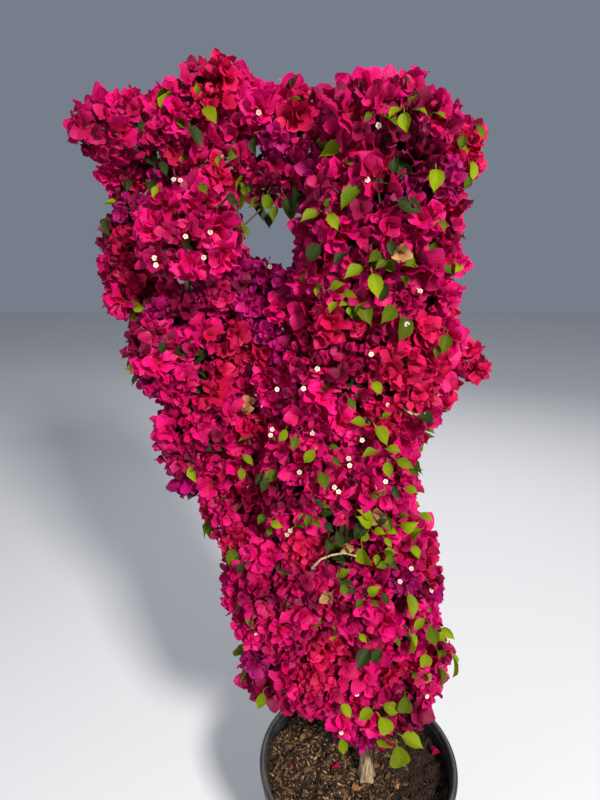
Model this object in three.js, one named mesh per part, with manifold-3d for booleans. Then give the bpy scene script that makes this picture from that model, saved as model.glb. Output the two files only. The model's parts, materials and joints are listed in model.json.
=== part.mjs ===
// A bougainvillea bush in full blossom, in the black nursery pot that it grows in.
//
// Several stems rise from one short trunk. The tallest goes straight up through a column of blossom on the
// right, and another leans out to the left, where it carries a second head. The two heads meet in a bridge of
// blossom at the top, with an open gap under it. Each mass of blossom is a dense heart that seeded twigs stand
// out of. A twig ends in three papery bracts, which open like a cup, and some twigs hold a leaf as well.
//
// Millimetres, +Z up. The origin is the middle of the pot's underside, +X is to the right and -Y to the front.

import * as THREE from "three";
import { mergeVertices } from "three/addons/utils/BufferGeometryUtils.js";
import Module from "manifold-3d";

const wasm = await Module();
wasm.setup();

// Clearance between pieces that touch
const TOUCH = 0.3;

// Pot. Its body tapers down from the foot of a collar, and a lip runs round the collar's top.
const RIM_RADIUS = 215;
const POT_HEIGHT = 382;
const BASE_RADIUS = 165;
const WALL = 3;
const FLOOR = 4;
const LIP = { width: 12, depth: 11, proud: 5, edge: 3 };
const COLLAR = { depth: 62, step: 6 };
const COLLAR_FOOT = POT_HEIGHT - COLLAR.depth;
const BODY_TOP_RADIUS = RIM_RADIUS - LIP.width / 2 - COLLAR.step;
const HEEL = 5;
const POT_SIDES = 32;
const GRIP = { width: 24, height: 32, proud: 7, sunk: 9, sides: 10, turns: [-0.22, 0.78] };
const DRAIN = { count: 6, radius: 9, circle: 132, sides: 8 };

// Potting mix. It lies a little higher on the left, and level where the trunk stands.
const MIX_LEVEL = 342;
const MIX = { bump: 4.2, slope: 0.05, rings: 5, clear: 1, edge: 5, lowEdge: 14 };
const LEVEL_PATCH = [45, 90];

// Trunk and limbs
const TRUNK_FOOT = new THREE.Vector3(19, -15, MIX_LEVEL + TOUCH);
const TRUNK_FORK = new THREE.Vector3(2, 2, 486);
const TRUNK = { radii: [13.5, 11], flare: 8, reach: 0.16, roots: 5, bow: 5, sides: 15, steps: 7 };
const LIMB = { sides: 6, step: 70, leastSteps: 4 };

// Blossom. A flower is three bracts, larger than life, as the solids have fewer of them than the plant.
// Its outline goes from tip to shoulder to notch: how far out each is, and how far above the flower's base.
const BRACTS = 3;
const FLOWER = { tip: [57, 21], shoulder: [41, 18], notch: [14, 5], neck: -6, heart: 2 };
const FLOWER_SIZES = [1, 0.72];
const FLOWER_SHARE = 0.58;
const FLOWER_INSETS = [2, 7, 12, 18, 25];
const FLOWER_SPREAD = 0.94;
const LEAF = { length: 66, width: 38, thickness: 3, cup: 5, curl: -9, open: 96, below: 10 };
const LEAF_SHARE = 0.26;
const TWIG = { root: 4.6, tip: 3.6, sunk: 0.7 };
const TWIG_TRIES = 300;
const MASS_ROUNDNESS = 3;
const HEART_SHARES = [0.36, 0.8];
const HEART_DEPTH = 44;
const HEART_LUMPS = 0.08;
const SMALL_HEART = 75;
const MASS_GAP = 3;
const GOLDEN_TURN = Math.PI * (3 - Math.sqrt(5));

// The masses of blossom: the middle of each one's space, and its reach to the side, in depth and up.
const MASSES = [
  { name: "right_top", middle: [3, -10, 1628], reach: [106, 110, 96] },
  { name: "right_tip", middle: [104, -5, 1611], reach: [48, 62, 62] },
  { name: "right_shoulder", middle: [-5, -10, 1512], reach: [131, 125, 112] },
  { name: "right_upper", middle: [-7, 0, 1390], reach: [141, 128, 122] },
  { name: "right_spur", middle: [158, 0, 1280], reach: [45, 45, 46] },
  { name: "right_middle", middle: [-20, 0, 1250], reach: [151, 131, 128] },
  { name: "right_waist", middle: [-45, 0, 1085], reach: [160, 141, 134] },
  { name: "low_front", middle: [-67, -5, 872], reach: [210, 162, 150] },
  { name: "low_skirt", middle: [-34, 0, 680], reach: [212, 151, 124] },
  { name: "low_tip", middle: [2, -30, 572], reach: [93, 88, 64] },
  { name: "left_peak", middle: [-270, 110, 1688], reach: [76, 78, 81] },
  { name: "left_arm", middle: [-358, 110, 1654], reach: [70, 66, 64] },
  { name: "left_tip", middle: [-449, 100, 1652], reach: [63, 61, 60] },
  { name: "bridge", middle: [-144, 60, 1658], reach: [78, 70, 66] },
  { name: "bridge_drop", middle: [-165, 50, 1573], reach: [46, 44, 40] },
  { name: "peak_drop", middle: [-255, 80, 1598], reach: [52, 48, 42] },
  { name: "left_ball", middle: [-306, 40, 1490], reach: [91, 88, 86] },
  { name: "left_back", middle: [-427, 150, 1432], reach: [62, 92, 122] },
  { name: "left_inner", middle: [-214, 70, 1384], reach: [78, 72, 70] },
  { name: "left_middle", middle: [-320, 70, 1285], reach: [118, 105, 108] },
  { name: "left_low", middle: [-292, 70, 1122], reach: [109, 101, 108] },
  { name: "left_foot", middle: [-243, 50, 985], reach: [80, 76, 84] },
];

// The limbs: what each leaves and how far along it, the masses that it runs through, and the one that it enters.
const LIMBS = [
  {
    name: "main_stem",
    from: "trunk",
    at: 1,
    through: ["low_tip", "low_skirt", "low_front", "right_waist", "right_middle", "right_upper", "right_shoulder"],
    to: "right_top",
    radii: [10, 4.6],
  },
  {
    name: "left_stem",
    from: "trunk",
    at: 1,
    through: ["left_foot", "left_low", "left_middle", "left_ball", "peak_drop"],
    to: "left_peak",
    radii: [9, 4.2],
  },
  { name: "spur_bough", from: "main_stem", at: 0.62, to: "right_spur", arch: 12, radii: [5.5, 3.5] },
  { name: "tip_bough", from: "main_stem", at: 0.9, to: "right_tip", arch: 10, radii: [5, 3.5] },
  { name: "bridge_bough", from: "main_stem", at: 0.9, to: "bridge", arch: 16, radii: [5.5, 4] },
  { name: "drop_bough", from: "bridge_bough", at: 0.6, to: "bridge_drop", arch: 4, radii: [4.5, 3.5] },
  { name: "inner_bough", from: "main_stem", at: 0.68, to: "left_inner", arch: -14, radii: [6, 4] },
  { name: "back_bough", from: "left_stem", at: 0.6, to: "left_back", arch: 14, radii: [6, 4] },
  { name: "arm_bough", from: "left_stem", at: 0.82, through: ["left_arm"], to: "left_tip", radii: [5.5, 3.5] },
];

const MAGENTA = new THREE.MeshStandardMaterial({ color: 0xc4005c, roughness: 0.75, metalness: 0 });
const BARK = new THREE.MeshStandardMaterial({ color: 0x8c7458, roughness: 0.9, metalness: 0 });
const BLACK_PLASTIC = new THREE.MeshStandardMaterial({ color: 0x1d1f20, roughness: 0.55, metalness: 0 });
const BARK_MIX = new THREE.MeshStandardMaterial({ color: 0x46301f, roughness: 1, metalness: 0 });

// Numbers from 0 to 1, the same ones each time for one seed.
function seeded(seed) {
  let state = seed >>> 0;
  return () => {
    state = (state + 0x6d2b79f5) >>> 0;
    let mixed = Math.imul(state ^ (state >>> 15), 1 | state);
    mixed = (mixed + Math.imul(mixed ^ (mixed >>> 7), 61 | mixed)) ^ mixed;
    return ((mixed ^ (mixed >>> 14)) >>> 0) / 4294967296;
  };
}

// A geometry with one vertex at each place and no face that has closed up, so that it is a closed surface.
function welded(geometry) {
  geometry.deleteAttribute("normal");
  geometry.deleteAttribute("uv");
  const merged = mergeVertices(geometry, 1e-3);
  const corners = Array.from(merged.index.array);
  const open = corners.filter((_, i) => new Set(corners.slice(i - (i % 3), i - (i % 3) + 3)).size === 3);
  return merged.setIndex(open);
}

function solidOf(geometry) {
  const closed = welded(geometry);
  return new wasm.Manifold(
    new wasm.Mesh({
      numProp: 3,
      vertProperties: new Float32Array(closed.attributes.position.array),
      triVerts: new Uint32Array(closed.index.array),
    }),
  );
}

function meshOf(name, solid, material) {
  const made = solid.getMesh();
  const geometry = new THREE.BufferGeometry();
  geometry.setAttribute("position", new THREE.BufferAttribute(new Float32Array(made.vertProperties), 3));
  geometry.setIndex(new THREE.BufferAttribute(new Uint32Array(made.triVerts), 1));
  geometry.computeVertexNormals();
  const mesh = new THREE.Mesh(geometry, material);
  mesh.name = name;
  return mesh;
}

// The largest body of a solid, without loose scraps or sealed hollows.
function wholeBody(solid) {
  return solid.decompose().sort((a, b) => b.volume() - a.volume())[0];
}

// Moves each vertex of a geometry to the place that a function gives for it.
function moved(geometry, place) {
  const position = geometry.attributes.position;
  const vertex = new THREE.Vector3();
  for (let i = 0; i < position.count; i++) {
    vertex.fromBufferAttribute(position, i);
    const to = place(vertex);
    position.setXYZ(i, to.x, to.y, to.z);
  }
  return geometry;
}

// A tapering tube along a route, closed at both ends. radiusAt takes the share of the route and the angle.
function tube(route, radiusAt, sides, segments, grow = 0) {
  const frames = route.computeFrenetFrames(segments, false);
  const straight = welded(new THREE.CylinderGeometry(1, 1, 1, sides, segments));
  return solidOf(
    moved(straight, ({ x, y, z }) => {
      const share = y + 0.5;
      const ring = Math.round(share * segments);
      const ends = { 0: -grow, [segments]: grow };
      const beyond = ends[ring] ?? 0;
      const reach = Math.hypot(x, z) < 0.5 ? 0 : radiusAt(share, Math.atan2(z, x)) + grow;
      const angle = Math.atan2(z, x);
      return route
        .getPointAt(share)
        .addScaledVector(frames.tangents[ring], beyond)
        .addScaledVector(frames.normals[ring], Math.cos(angle) * reach)
        .addScaledVector(frames.binormals[ring], -Math.sin(angle) * reach);
    }),
  );
}

function potSolid() {
  const lipFoot = POT_HEIGHT - LIP.depth;
  const innerRim = RIM_RADIUS - LIP.width;
  const profile = [
    [0, 0],
    [BASE_RADIUS - HEEL, 0],
    [BASE_RADIUS, HEEL],
    [BODY_TOP_RADIUS, COLLAR_FOOT],
    [BODY_TOP_RADIUS + COLLAR.step, COLLAR_FOOT + LIP.edge],
    [RIM_RADIUS - LIP.proud, lipFoot],
    [RIM_RADIUS, lipFoot + LIP.edge],
    [RIM_RADIUS, POT_HEIGHT - LIP.edge],
    [RIM_RADIUS - LIP.edge, POT_HEIGHT],
    [innerRim + LIP.edge, POT_HEIGHT],
    [innerRim, POT_HEIGHT - LIP.edge],
    [BODY_TOP_RADIUS - WALL, COLLAR_FOOT],
    [BASE_RADIUS - WALL, FLOOR],
    [0, FLOOR],
  ];
  const points = profile.map(([radius, height]) => new THREE.Vector2(radius, height));
  let pot = solidOf(new THREE.LatheGeometry(points, POT_SIDES).rotateX(Math.PI / 2));
  const gripRadius = RIM_RADIUS - GRIP.sunk;
  for (const turn of GRIP.turns) {
    const angle = turn * Math.PI;
    const grip = new THREE.CylinderGeometry(GRIP.width / 2, GRIP.width / 2, GRIP.height, GRIP.sides);
    grip.rotateX(Math.PI / 2).scale((2 * GRIP.proud) / GRIP.width, 1, 1).rotateZ(angle);
    const height = POT_HEIGHT - COLLAR.depth / 2;
    pot = pot.add(solidOf(grip.translate(Math.cos(angle) * gripRadius, Math.sin(angle) * gripRadius, height)));
  }
  for (let i = 0; i < DRAIN.count; i++) {
    const angle = ((i + 0.5) / DRAIN.count) * 2 * Math.PI;
    const hole = new THREE.CylinderGeometry(DRAIN.radius, DRAIN.radius, 4 * FLOOR, DRAIN.sides);
    hole.rotateX(Math.PI / 2).translate(Math.cos(angle) * DRAIN.circle, Math.sin(angle) * DRAIN.circle, 0);
    pot = pot.subtract(solidOf(hole));
  }
  return wholeBody(pot);
}

// The radius of the pot's inner wall at a height in the body or the collar.
function innerRadius(height) {
  const { lerp, inverseLerp } = THREE.MathUtils;
  if (height < COLLAR_FOOT) {
    return lerp(BASE_RADIUS - WALL, BODY_TOP_RADIUS - WALL, inverseLerp(FLOOR, COLLAR_FOOT, height));
  }
  const share = inverseLerp(COLLAR_FOOT, POT_HEIGHT - LIP.edge, height);
  return lerp(BODY_TOP_RADIUS - WALL, RIM_RADIUS - LIP.width, share);
}

function mixSolid() {
  const bottom = FLOOR + 2 * TOUCH;
  const topRadius = innerRadius(MIX_LEVEL - MIX.lowEdge) - MIX.edge;
  const profile = [
    new THREE.Vector2(0, bottom),
    new THREE.Vector2(innerRadius(bottom) - MIX.clear, bottom),
    new THREE.Vector2(innerRadius(COLLAR_FOOT) - MIX.clear, COLLAR_FOOT),
  ];
  for (let ring = MIX.rings; ring >= 0; ring--) {
    profile.push(new THREE.Vector2((topRadius * ring) / MIX.rings, MIX_LEVEL));
  }
  const lathed = welded(new THREE.LatheGeometry(profile, POT_SIDES).rotateX(Math.PI / 2));
  return solidOf(
    moved(lathed, ({ x, y, z }) => {
      if (z < MIX_LEVEL - 1) return new THREE.Vector3(x, y, z);
      const out = Math.hypot(x - TRUNK_FOOT.x, y - TRUNK_FOOT.y);
      const rough = THREE.MathUtils.smoothstep(out, ...LEVEL_PATCH);
      const bump = Math.sin(x * 0.071 + 1.3) * Math.cos(y * 0.083) + 0.6 * Math.sin(x * 0.13 - y * 0.17);
      return new THREE.Vector3(x, y, z + rough * (MIX.bump * bump - MIX.slope * x));
    }),
  );
}

function trunkRoute() {
  const half = TRUNK_FOOT.clone().lerp(TRUNK_FORK, 0.5);
  half.x += TRUNK.bow;
  const above = TRUNK_FOOT.clone();
  above.z += TRUNK.radii[0];
  return new THREE.CatmullRomCurve3([TRUNK_FOOT, above, half, TRUNK_FORK]);
}

// The trunk's foot spreads into a few roots, and is cut off flat on the mix.
function trunkSolid(grow = 0) {
  const radiusAt = (share, angle) => {
    const root = 0.75 + 0.35 * Math.cos(TRUNK.roots * angle + 0.6);
    const flare = TRUNK.flare * Math.exp(-share / TRUNK.reach) * root;
    return THREE.MathUtils.lerp(...TRUNK.radii, share) + flare;
  };
  const trunk = tube(trunkRoute(), radiusAt, TRUNK.sides, TRUNK.steps, grow);
  return trunk.trimByPlane([0, 0, 1], TRUNK_FOOT.z - grow);
}

const masses = new Map();
MASSES.forEach(({ name, middle, reach }, index) => {
  masses.set(name, {
    name,
    seed: 101 + 17 * index,
    phases: [2.3 * index, 1.1 * index],
    middle: new THREE.Vector3(...middle),
    reach: new THREE.Vector3(...reach),
  });
});

// A direction or point, measured from a mass's middle, as a share of the mass's rounded reach.
function shareOfReach(mass, from) {
  const parts = from.clone().divide(mass.reach).toArray();
  return parts.reduce((sum, part) => sum + Math.abs(part) ** MASS_ROUNDNESS, 0) ** (1 / MASS_ROUNDNESS);
}

function meanReach({ reach }) {
  return (reach.x + reach.y + reach.z) / 3;
}

function reachAlong(mass, direction) {
  return 1 / shareOfReach(mass, direction);
}

// Flat walls between a mass's space and its neighbours', each as a direction and a distance from its middle.
function wallsOf(mass) {
  const walls = [];
  for (const other of masses.values()) {
    if (other === mass) continue;
    const towards = other.middle.clone().sub(mass.middle);
    const apart = towards.length();
    towards.normalize();
    const own = reachAlong(mass, towards);
    const theirs = reachAlong(other, towards);
    const distance = (apart * apart + own * own - theirs * theirs) / (2 * apart) - MASS_GAP / 2;
    walls.push({ towards, distance });
  }
  return walls;
}

// How far a mass's space goes from its middle in a direction: to its reach, or to a wall that comes first.
function spaceAlong(mass, direction) {
  let far = reachAlong(mass, direction);
  for (const { towards, distance } of mass.walls) {
    const facing = towards.dot(direction);
    if (facing > 1e-6) far = Math.min(far, distance / facing);
  }
  return far;
}

function isInside(mass, point) {
  const from = point.clone().sub(mass.middle);
  if (shareOfReach(mass, from) > 1) return false;
  return mass.walls.every(({ towards, distance }) => from.dot(towards) <= distance);
}

for (const mass of masses.values()) mass.walls = wallsOf(mass);

// The point where a line from outside enters a mass's space on its way to the middle.
function entryOf(mass, from) {
  const out = from.clone().sub(mass.middle).normalize();
  return mass.middle.clone().addScaledVector(out, spaceAlong(mass, out));
}

const limbs = new Map();

// Adds a limb along a route. What another limb fills is cut away with the clearance of touching pieces.
function addLimb(name, route, radii) {
  const steps = Math.max(LIMB.leastSteps, Math.round(route.getLength() / LIMB.step));
  const radiusAt = (share) => THREE.MathUtils.lerp(...radii, share);
  let solid = tube(route, radiusAt, LIMB.sides, steps);
  for (const other of limbs.values()) solid = solid.subtract(other.clearance);
  const clearance = tube(route, radiusAt, LIMB.sides, steps, TOUCH);
  limbs.set(name, { name, route, solid: wholeBody(solid), clearance });
}

function growLimbs() {
  const trunk = { name: "trunk", route: trunkRoute(), solid: trunkSolid(), clearance: trunkSolid(TOUCH) };
  limbs.set(trunk.name, trunk);
  for (const { name, from, at, through = [], to, arch = 0, radii } of LIMBS) {
    const points = [limbs.get(from).route.getPointAt(at), ...through.map((mass) => masses.get(mass).middle)];
    const last = points.at(-1);
    const end = entryOf(masses.get(to), last);
    if (arch) points.push(new THREE.Vector3(0, 0, arch).add(last.clone().lerp(end, 0.5)));
    points.push(end);
    addLimb(name, new THREE.CatmullRomCurve3(points), radii);
    masses.get(to).entry = { point: end, radius: radii[1] };
  }
}

// A three-sided twig of some length along +Z that ends at the origin in three bracts, opened like a cup.
// The lathe's twelve sides draw in to the twig's three corners below the bracts.
function sprigGeometry(length, size) {
  const { tip, shoulder, notch, neck, heart } = FLOWER;
  const outline = [tip, shoulder, notch, shoulder];
  const sides = BRACTS * outline.length;
  const [root, throat, rim, top] = [1, 2, 3, 4];
  const profile = [
    new THREE.Vector2(0, root),
    new THREE.Vector2(1, root),
    new THREE.Vector2(1, throat),
    new THREE.Vector2(1, rim),
    new THREE.Vector2(0, top),
  ];
  const lathed = welded(new THREE.LatheGeometry(profile, sides).rotateX(Math.PI / 2));
  const foot = -length;
  return moved(lathed, ({ x, y, z }) => {
    const level = Math.round(z);
    const onAxis = Math.hypot(x, y) < 0.5;
    if (onAxis) return new THREE.Vector3(0, 0, level === top ? heart * size : foot);
    const side = Math.round((Math.atan2(y, x) / (2 * Math.PI)) * sides) + sides;
    if (level === rim) {
      const [out, up] = outline[side % outline.length];
      return new THREE.Vector3(x * out * size, y * out * size, up * size);
    }
    const corner = (Math.round(side / outline.length) / BRACTS) * 2 * Math.PI;
    const radius = level === root ? TWIG.root : TWIG.tip;
    const height = level === root ? foot : neck * size;
    return new THREE.Vector3(Math.cos(corner) * radius, Math.sin(corner) * radius, height);
  });
}

// A pointed, cupped blade of eight faces. Its root is at the origin, its tip along +X, its inner face up +Z.
function bladeGeometry({ length, width, thickness, cup, curl }) {
  const octahedron = welded(new THREE.OctahedronGeometry(1));
  return moved(octahedron, ({ x, y, z }) => {
    if (x > 0.5) return new THREE.Vector3(length, 0, curl);
    if (x < -0.5) return new THREE.Vector3(0, 0, 0);
    if (Math.abs(y) > 0.5) return new THREE.Vector3(length * 0.46, (y * width) / 2, cup);
    return new THREE.Vector3(length * 0.42, 0, (z * thickness) / 2);
  });
}

// A frame that turns +Z to a direction and then turns about it, at a point.
function placing(point, along, turn) {
  const upright = new THREE.Quaternion().setFromUnitVectors(new THREE.Vector3(0, 0, 1), along);
  const turned = new THREE.Quaternion().setFromAxisAngle(new THREE.Vector3(0, 0, 1), turn);
  return new THREE.Matrix4().compose(point, upright.multiply(turned), new THREE.Vector3(1, 1, 1));
}

// A leaf whose blade is opened away from its twig's direction, +Z.
function leafGeometry() {
  const open = THREE.MathUtils.degToRad(LEAF.open - 90);
  return bladeGeometry(LEAF).rotateY(open).translate(0, 0, -LEAF.below);
}

function verticesOf(geometry) {
  const position = geometry.attributes.position;
  return Array.from({ length: position.count }, (_, i) => new THREE.Vector3().fromBufferAttribute(position, i));
}

// How far a mass's heart reaches in a direction.
function heartAlong(mass, out) {
  const far = reachAlong(mass, out);
  const [phaseX, phaseY] = mass.phases;
  const lump = 1 + HEART_LUMPS * Math.sin(7 * out.x + phaseX) * Math.sin(6 * out.y + phaseY + 5 * out.z);
  const depth = THREE.MathUtils.clamp(far - HEART_DEPTH, far * HEART_SHARES[0], far * HEART_SHARES[1]);
  return Math.min(depth * lump, spaceAlong(mass, out) - 1);
}

// The mass's dense heart: a lumpy ball inside its space.
function heartSolid(mass) {
  const ball = welded(new THREE.IcosahedronGeometry(1, meanReach(mass) < SMALL_HEART ? 0 : 1));
  return solidOf(
    moved(ball, (corner) => {
      const out = corner.clone().normalize();
      return mass.middle.clone().addScaledVector(out, heartAlong(mass, out));
    }),
  );
}

function strut(from, to, radiusFrom, radiusTo, sides) {
  const radiusAt = (share) => THREE.MathUtils.lerp(radiusFrom, radiusTo, share);
  return tube(new THREE.LineCurve3(from, to), radiusAt, sides, 1);
}

// One mass of blossom: its stem from where the bough enters, its heart, and the twigs that stand out of it.
// Large flowers are placed first, then smaller ones in the room that is left.
function massSolid(mass, limbSpace) {
  const random = seeded(mass.seed);
  const pieces = [heartSolid(mass)];
  if (mass.entry) pieces.push(strut(mass.entry.point, mass.middle, mass.entry.radius, mass.entry.radius, 5));
  const isFree = (solid) => solid.intersect(limbSpace).volume() === 0;
  const flowers = [];
  const phase = random() * 2 * Math.PI;
  const largest = Math.min(1, (FLOWER_SHARE * meanReach(mass)) / FLOWER.tip[0]);
  for (const size of FLOWER_SIZES.map((share) => share * largest)) {
    const [wide, high] = FLOWER.tip.map((length) => length * size);
    for (let i = 0; i < TWIG_TRIES; i++) {
      const height = 1 - (2 * (i + 0.5)) / TWIG_TRIES;
      const level = Math.sqrt(1 - height * height);
      const angle = phase + GOLDEN_TURN * i;
      const out = new THREE.Vector3(level * Math.cos(angle), level * Math.sin(angle), height);
      const turn = random() * 2 * Math.PI;
      const wantsLeaf = random() < LEAF_SHARE;
      const far = reachAlong(mass, out);
      const foot = heartAlong(mass, out) * TWIG.sunk;
      for (const inset of FLOWER_INSETS) {
        const depth = Math.sqrt(Math.max(far * far - wide * wide, 0)) - high - inset;
        const tip = mass.middle.clone().addScaledVector(out, depth);
        const rim = tip.clone().addScaledVector(out, high);
        const apart = (other) => other.rim.distanceTo(rim) > FLOWER_SPREAD * (other.wide + wide);
        if (depth < foot || !flowers.every(apart)) break;
        const sprig = welded(sprigGeometry(depth - foot, size)).applyMatrix4(placing(tip, out, turn));
        if (!verticesOf(sprig).every((vertex) => isInside(mass, vertex))) continue;
        const solid = solidOf(sprig);
        if (!isFree(solid)) continue;
        flowers.push({ rim, wide });
        pieces.push(solid);
        const leaf = leafGeometry().applyMatrix4(placing(tip, out, turn + Math.PI / BRACTS));
        const leafFits = verticesOf(leaf).every((vertex) => isInside(mass, vertex));
        if (wantsLeaf && leafFits && isFree(solidOf(leaf))) pieces.push(solidOf(leaf));
        break;
      }
    }
  }
  return wholeBody(wasm.Manifold.union(pieces).subtract(limbSpace));
}

growLimbs();
const limbSpace = wasm.Manifold.union([...limbs.values()].map(({ clearance }) => clearance));

const bush = new THREE.Group();
bush.add(meshOf("pot", potSolid(), BLACK_PLASTIC));
bush.add(meshOf("potting_mix", mixSolid(), BARK_MIX));
for (const { name, solid } of limbs.values()) bush.add(meshOf(name, solid, BARK));
for (const mass of masses.values()) {
  bush.add(meshOf(`${mass.name}_mass`, massSolid(mass, limbSpace), MAGENTA));
}

export default bush;
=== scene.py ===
"""A bougainvillea bush in full blossom, in its black nursery pot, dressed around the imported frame.

The crown grows on from the limbs by the rule of the part's source, carried to finer twigs: each mass of
blossom spreads heads inside its own space, and each head spreads flowers of three papery bracts.

Metres, +Z up. The origin is the middle of the pot's underside, +X is to the right and -Y to the front.
"""

import json
import logging
import math
from collections import defaultdict
from dataclasses import dataclass, field
from enum import Enum
from functools import cache

import bpy
import numpy as np
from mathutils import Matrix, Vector, noise
from mathutils.kdtree import KDTree

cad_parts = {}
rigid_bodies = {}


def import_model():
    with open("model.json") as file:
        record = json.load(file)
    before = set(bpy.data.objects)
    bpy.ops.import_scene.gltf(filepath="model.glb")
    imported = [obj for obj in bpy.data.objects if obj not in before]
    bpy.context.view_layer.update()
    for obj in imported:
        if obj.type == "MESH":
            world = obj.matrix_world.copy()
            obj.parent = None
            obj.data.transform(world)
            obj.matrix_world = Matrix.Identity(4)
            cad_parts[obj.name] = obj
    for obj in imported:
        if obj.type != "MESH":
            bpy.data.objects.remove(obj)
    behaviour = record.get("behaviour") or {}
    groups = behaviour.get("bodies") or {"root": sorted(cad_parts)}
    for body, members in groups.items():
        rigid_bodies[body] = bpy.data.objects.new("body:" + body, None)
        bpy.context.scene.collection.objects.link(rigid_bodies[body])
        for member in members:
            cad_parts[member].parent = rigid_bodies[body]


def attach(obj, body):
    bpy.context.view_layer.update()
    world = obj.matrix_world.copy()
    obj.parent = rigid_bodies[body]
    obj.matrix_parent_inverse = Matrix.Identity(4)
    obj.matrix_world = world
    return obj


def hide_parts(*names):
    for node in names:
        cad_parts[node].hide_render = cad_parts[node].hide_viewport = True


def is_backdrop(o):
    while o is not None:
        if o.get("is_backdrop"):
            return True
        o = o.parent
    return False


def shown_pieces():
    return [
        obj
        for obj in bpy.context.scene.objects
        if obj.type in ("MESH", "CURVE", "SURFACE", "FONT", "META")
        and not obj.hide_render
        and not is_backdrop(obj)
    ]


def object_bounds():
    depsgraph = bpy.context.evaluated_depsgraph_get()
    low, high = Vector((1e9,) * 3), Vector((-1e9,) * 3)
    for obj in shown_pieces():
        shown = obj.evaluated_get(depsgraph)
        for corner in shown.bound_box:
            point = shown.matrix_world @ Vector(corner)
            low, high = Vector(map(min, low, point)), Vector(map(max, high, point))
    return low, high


LOG = logging.getLogger("bush")
Array = np.ndarray
Chance = np.random.Generator
Colour = tuple[float, float, float]
Material = bpy.types.Material
Node = bpy.types.Node
Pair = tuple[float, float]
Piece = bpy.types.Object
Point = tuple[float, float, float]
Shape = tuple[Array, list, Array]
Socket = bpy.types.NodeSocket
Tree = bpy.types.NodeTree

FULL_TURN = 2 * math.pi
GOLDEN_TURN = math.pi * (3 - math.sqrt(5))
BODY = "root"
UP = np.array([0.0, 0.0, 1.0])


class Slot(Enum):
    """The record's material slots."""

    POT = "pot"
    MIX = "potting_mix"
    BARK = "bark"
    BLOSSOM = "blossom"


# Small tools for arrays and meshes


def norm(vectors: Array) -> Array:
    """Measures vectors along their last axis."""
    return np.linalg.norm(vectors, axis=-1)


def unit(vectors: Array) -> Array:
    """Scales vectors to a length of one."""
    return vectors / np.maximum(norm(vectors)[..., None], 1e-12)


def spiral_directions(count: int, phase: float) -> Array:
    """Spreads directions evenly over a sphere, from its top to its foot.

    Args:
        count: How many directions there are.
        phase: The angle at which the spiral starts.

    Returns:
        One unit vector in each row.
    """
    step = np.arange(count)
    height = 1 - 2 * (step + 0.5) / count
    level = np.sqrt(1 - height**2)
    angle = phase + GOLDEN_TURN * step
    return np.stack([level * np.cos(angle), level * np.sin(angle), height], axis=1)


def frames_on(axes: Array, turns: Array) -> Array:
    """Builds frames whose third axis is given.

    Args:
        axes: The third axis of each frame, one unit vector in each row.
        turns: The angle by which each frame turns about that axis.

    Returns:
        One matrix for each row, with the frame's axes in its columns.
    """
    helper = np.where(np.abs(axes[:, 2:3]) < 0.9, UP, np.array([1.0, 0.0, 0.0]))
    side = unit(np.cross(helper, axes))
    first = side * np.cos(turns)[:, None] + np.cross(axes, side) * np.sin(turns)[:, None]
    return np.stack([first, np.cross(axes, first), axes], axis=2)


def euler_of(frames: Array) -> Array:
    """Turns frames into Euler angles in the order X, Y, Z.

    Args:
        frames: One matrix for each frame, with its axes in its columns.

    Returns:
        Three angles in each row.
    """
    pitch = -np.arcsin(np.clip(frames[:, 2, 0], -1, 1))
    roll = np.arctan2(frames[:, 2, 1], frames[:, 2, 2])
    yaw = np.arctan2(frames[:, 1, 0], frames[:, 0, 0])
    return np.stack([roll, pitch, yaw], axis=1)


def ring(sides: int, radius: Array | float = 1.0, height: float = 0.0) -> Array:
    """Sets points in a level ring about the Z axis, at one radius or each at its own."""
    angles = np.arange(sides) / sides * FULL_TURN
    return np.stack([np.cos(angles) * radius, np.sin(angles) * radius, np.full(sides, height)], axis=1)


def wall_between(lower: int, upper: int, sides: int) -> list:
    """Joins two rings of vertices, each given by its first, by a band of faces that point outwards."""
    return [(lower + i, lower + (i + 1) % sides, upper + (i + 1) % sides, upper + i) for i in range(sides)]


def shell(rings: list[Array], foot: Array | None = None, top: Array | None = None) -> tuple[Array, list]:
    """Closes a stack of rings into a body whose faces point outwards.

    Args:
        rings: The points of each ring, from the foot up.
        foot: The pole under the first ring, if that isn't its middle.
        top: The pole over the last ring, if that isn't its middle.

    Returns:
        The body's vertices and faces.
    """
    sides = len(rings[0])
    last = (len(rings) - 1) * sides
    poles = [rings[0].mean(axis=0) if foot is None else foot, rings[-1].mean(axis=0) if top is None else top]
    under, over = last + sides, last + sides + 1
    faces = [face for start in range(0, last, sides) for face in wall_between(start, start + sides, sides)]
    faces += [(under, (i + 1) % sides, i) for i in range(sides)]
    faces += [(last + i, last + (i + 1) % sides, over) for i in range(sides)]
    return np.vstack([*rings, *poles]), faces


def placed(name: str, data: bpy.types.ID) -> Piece:
    """Makes an object of a mesh, a lamp or a camera.

    Args:
        name: The object's name.
        data: What it shows.

    Returns:
        The object, which is in the scene.
    """
    made = bpy.data.objects.new(name, data)
    bpy.context.scene.collection.objects.link(made)
    return made


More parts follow.
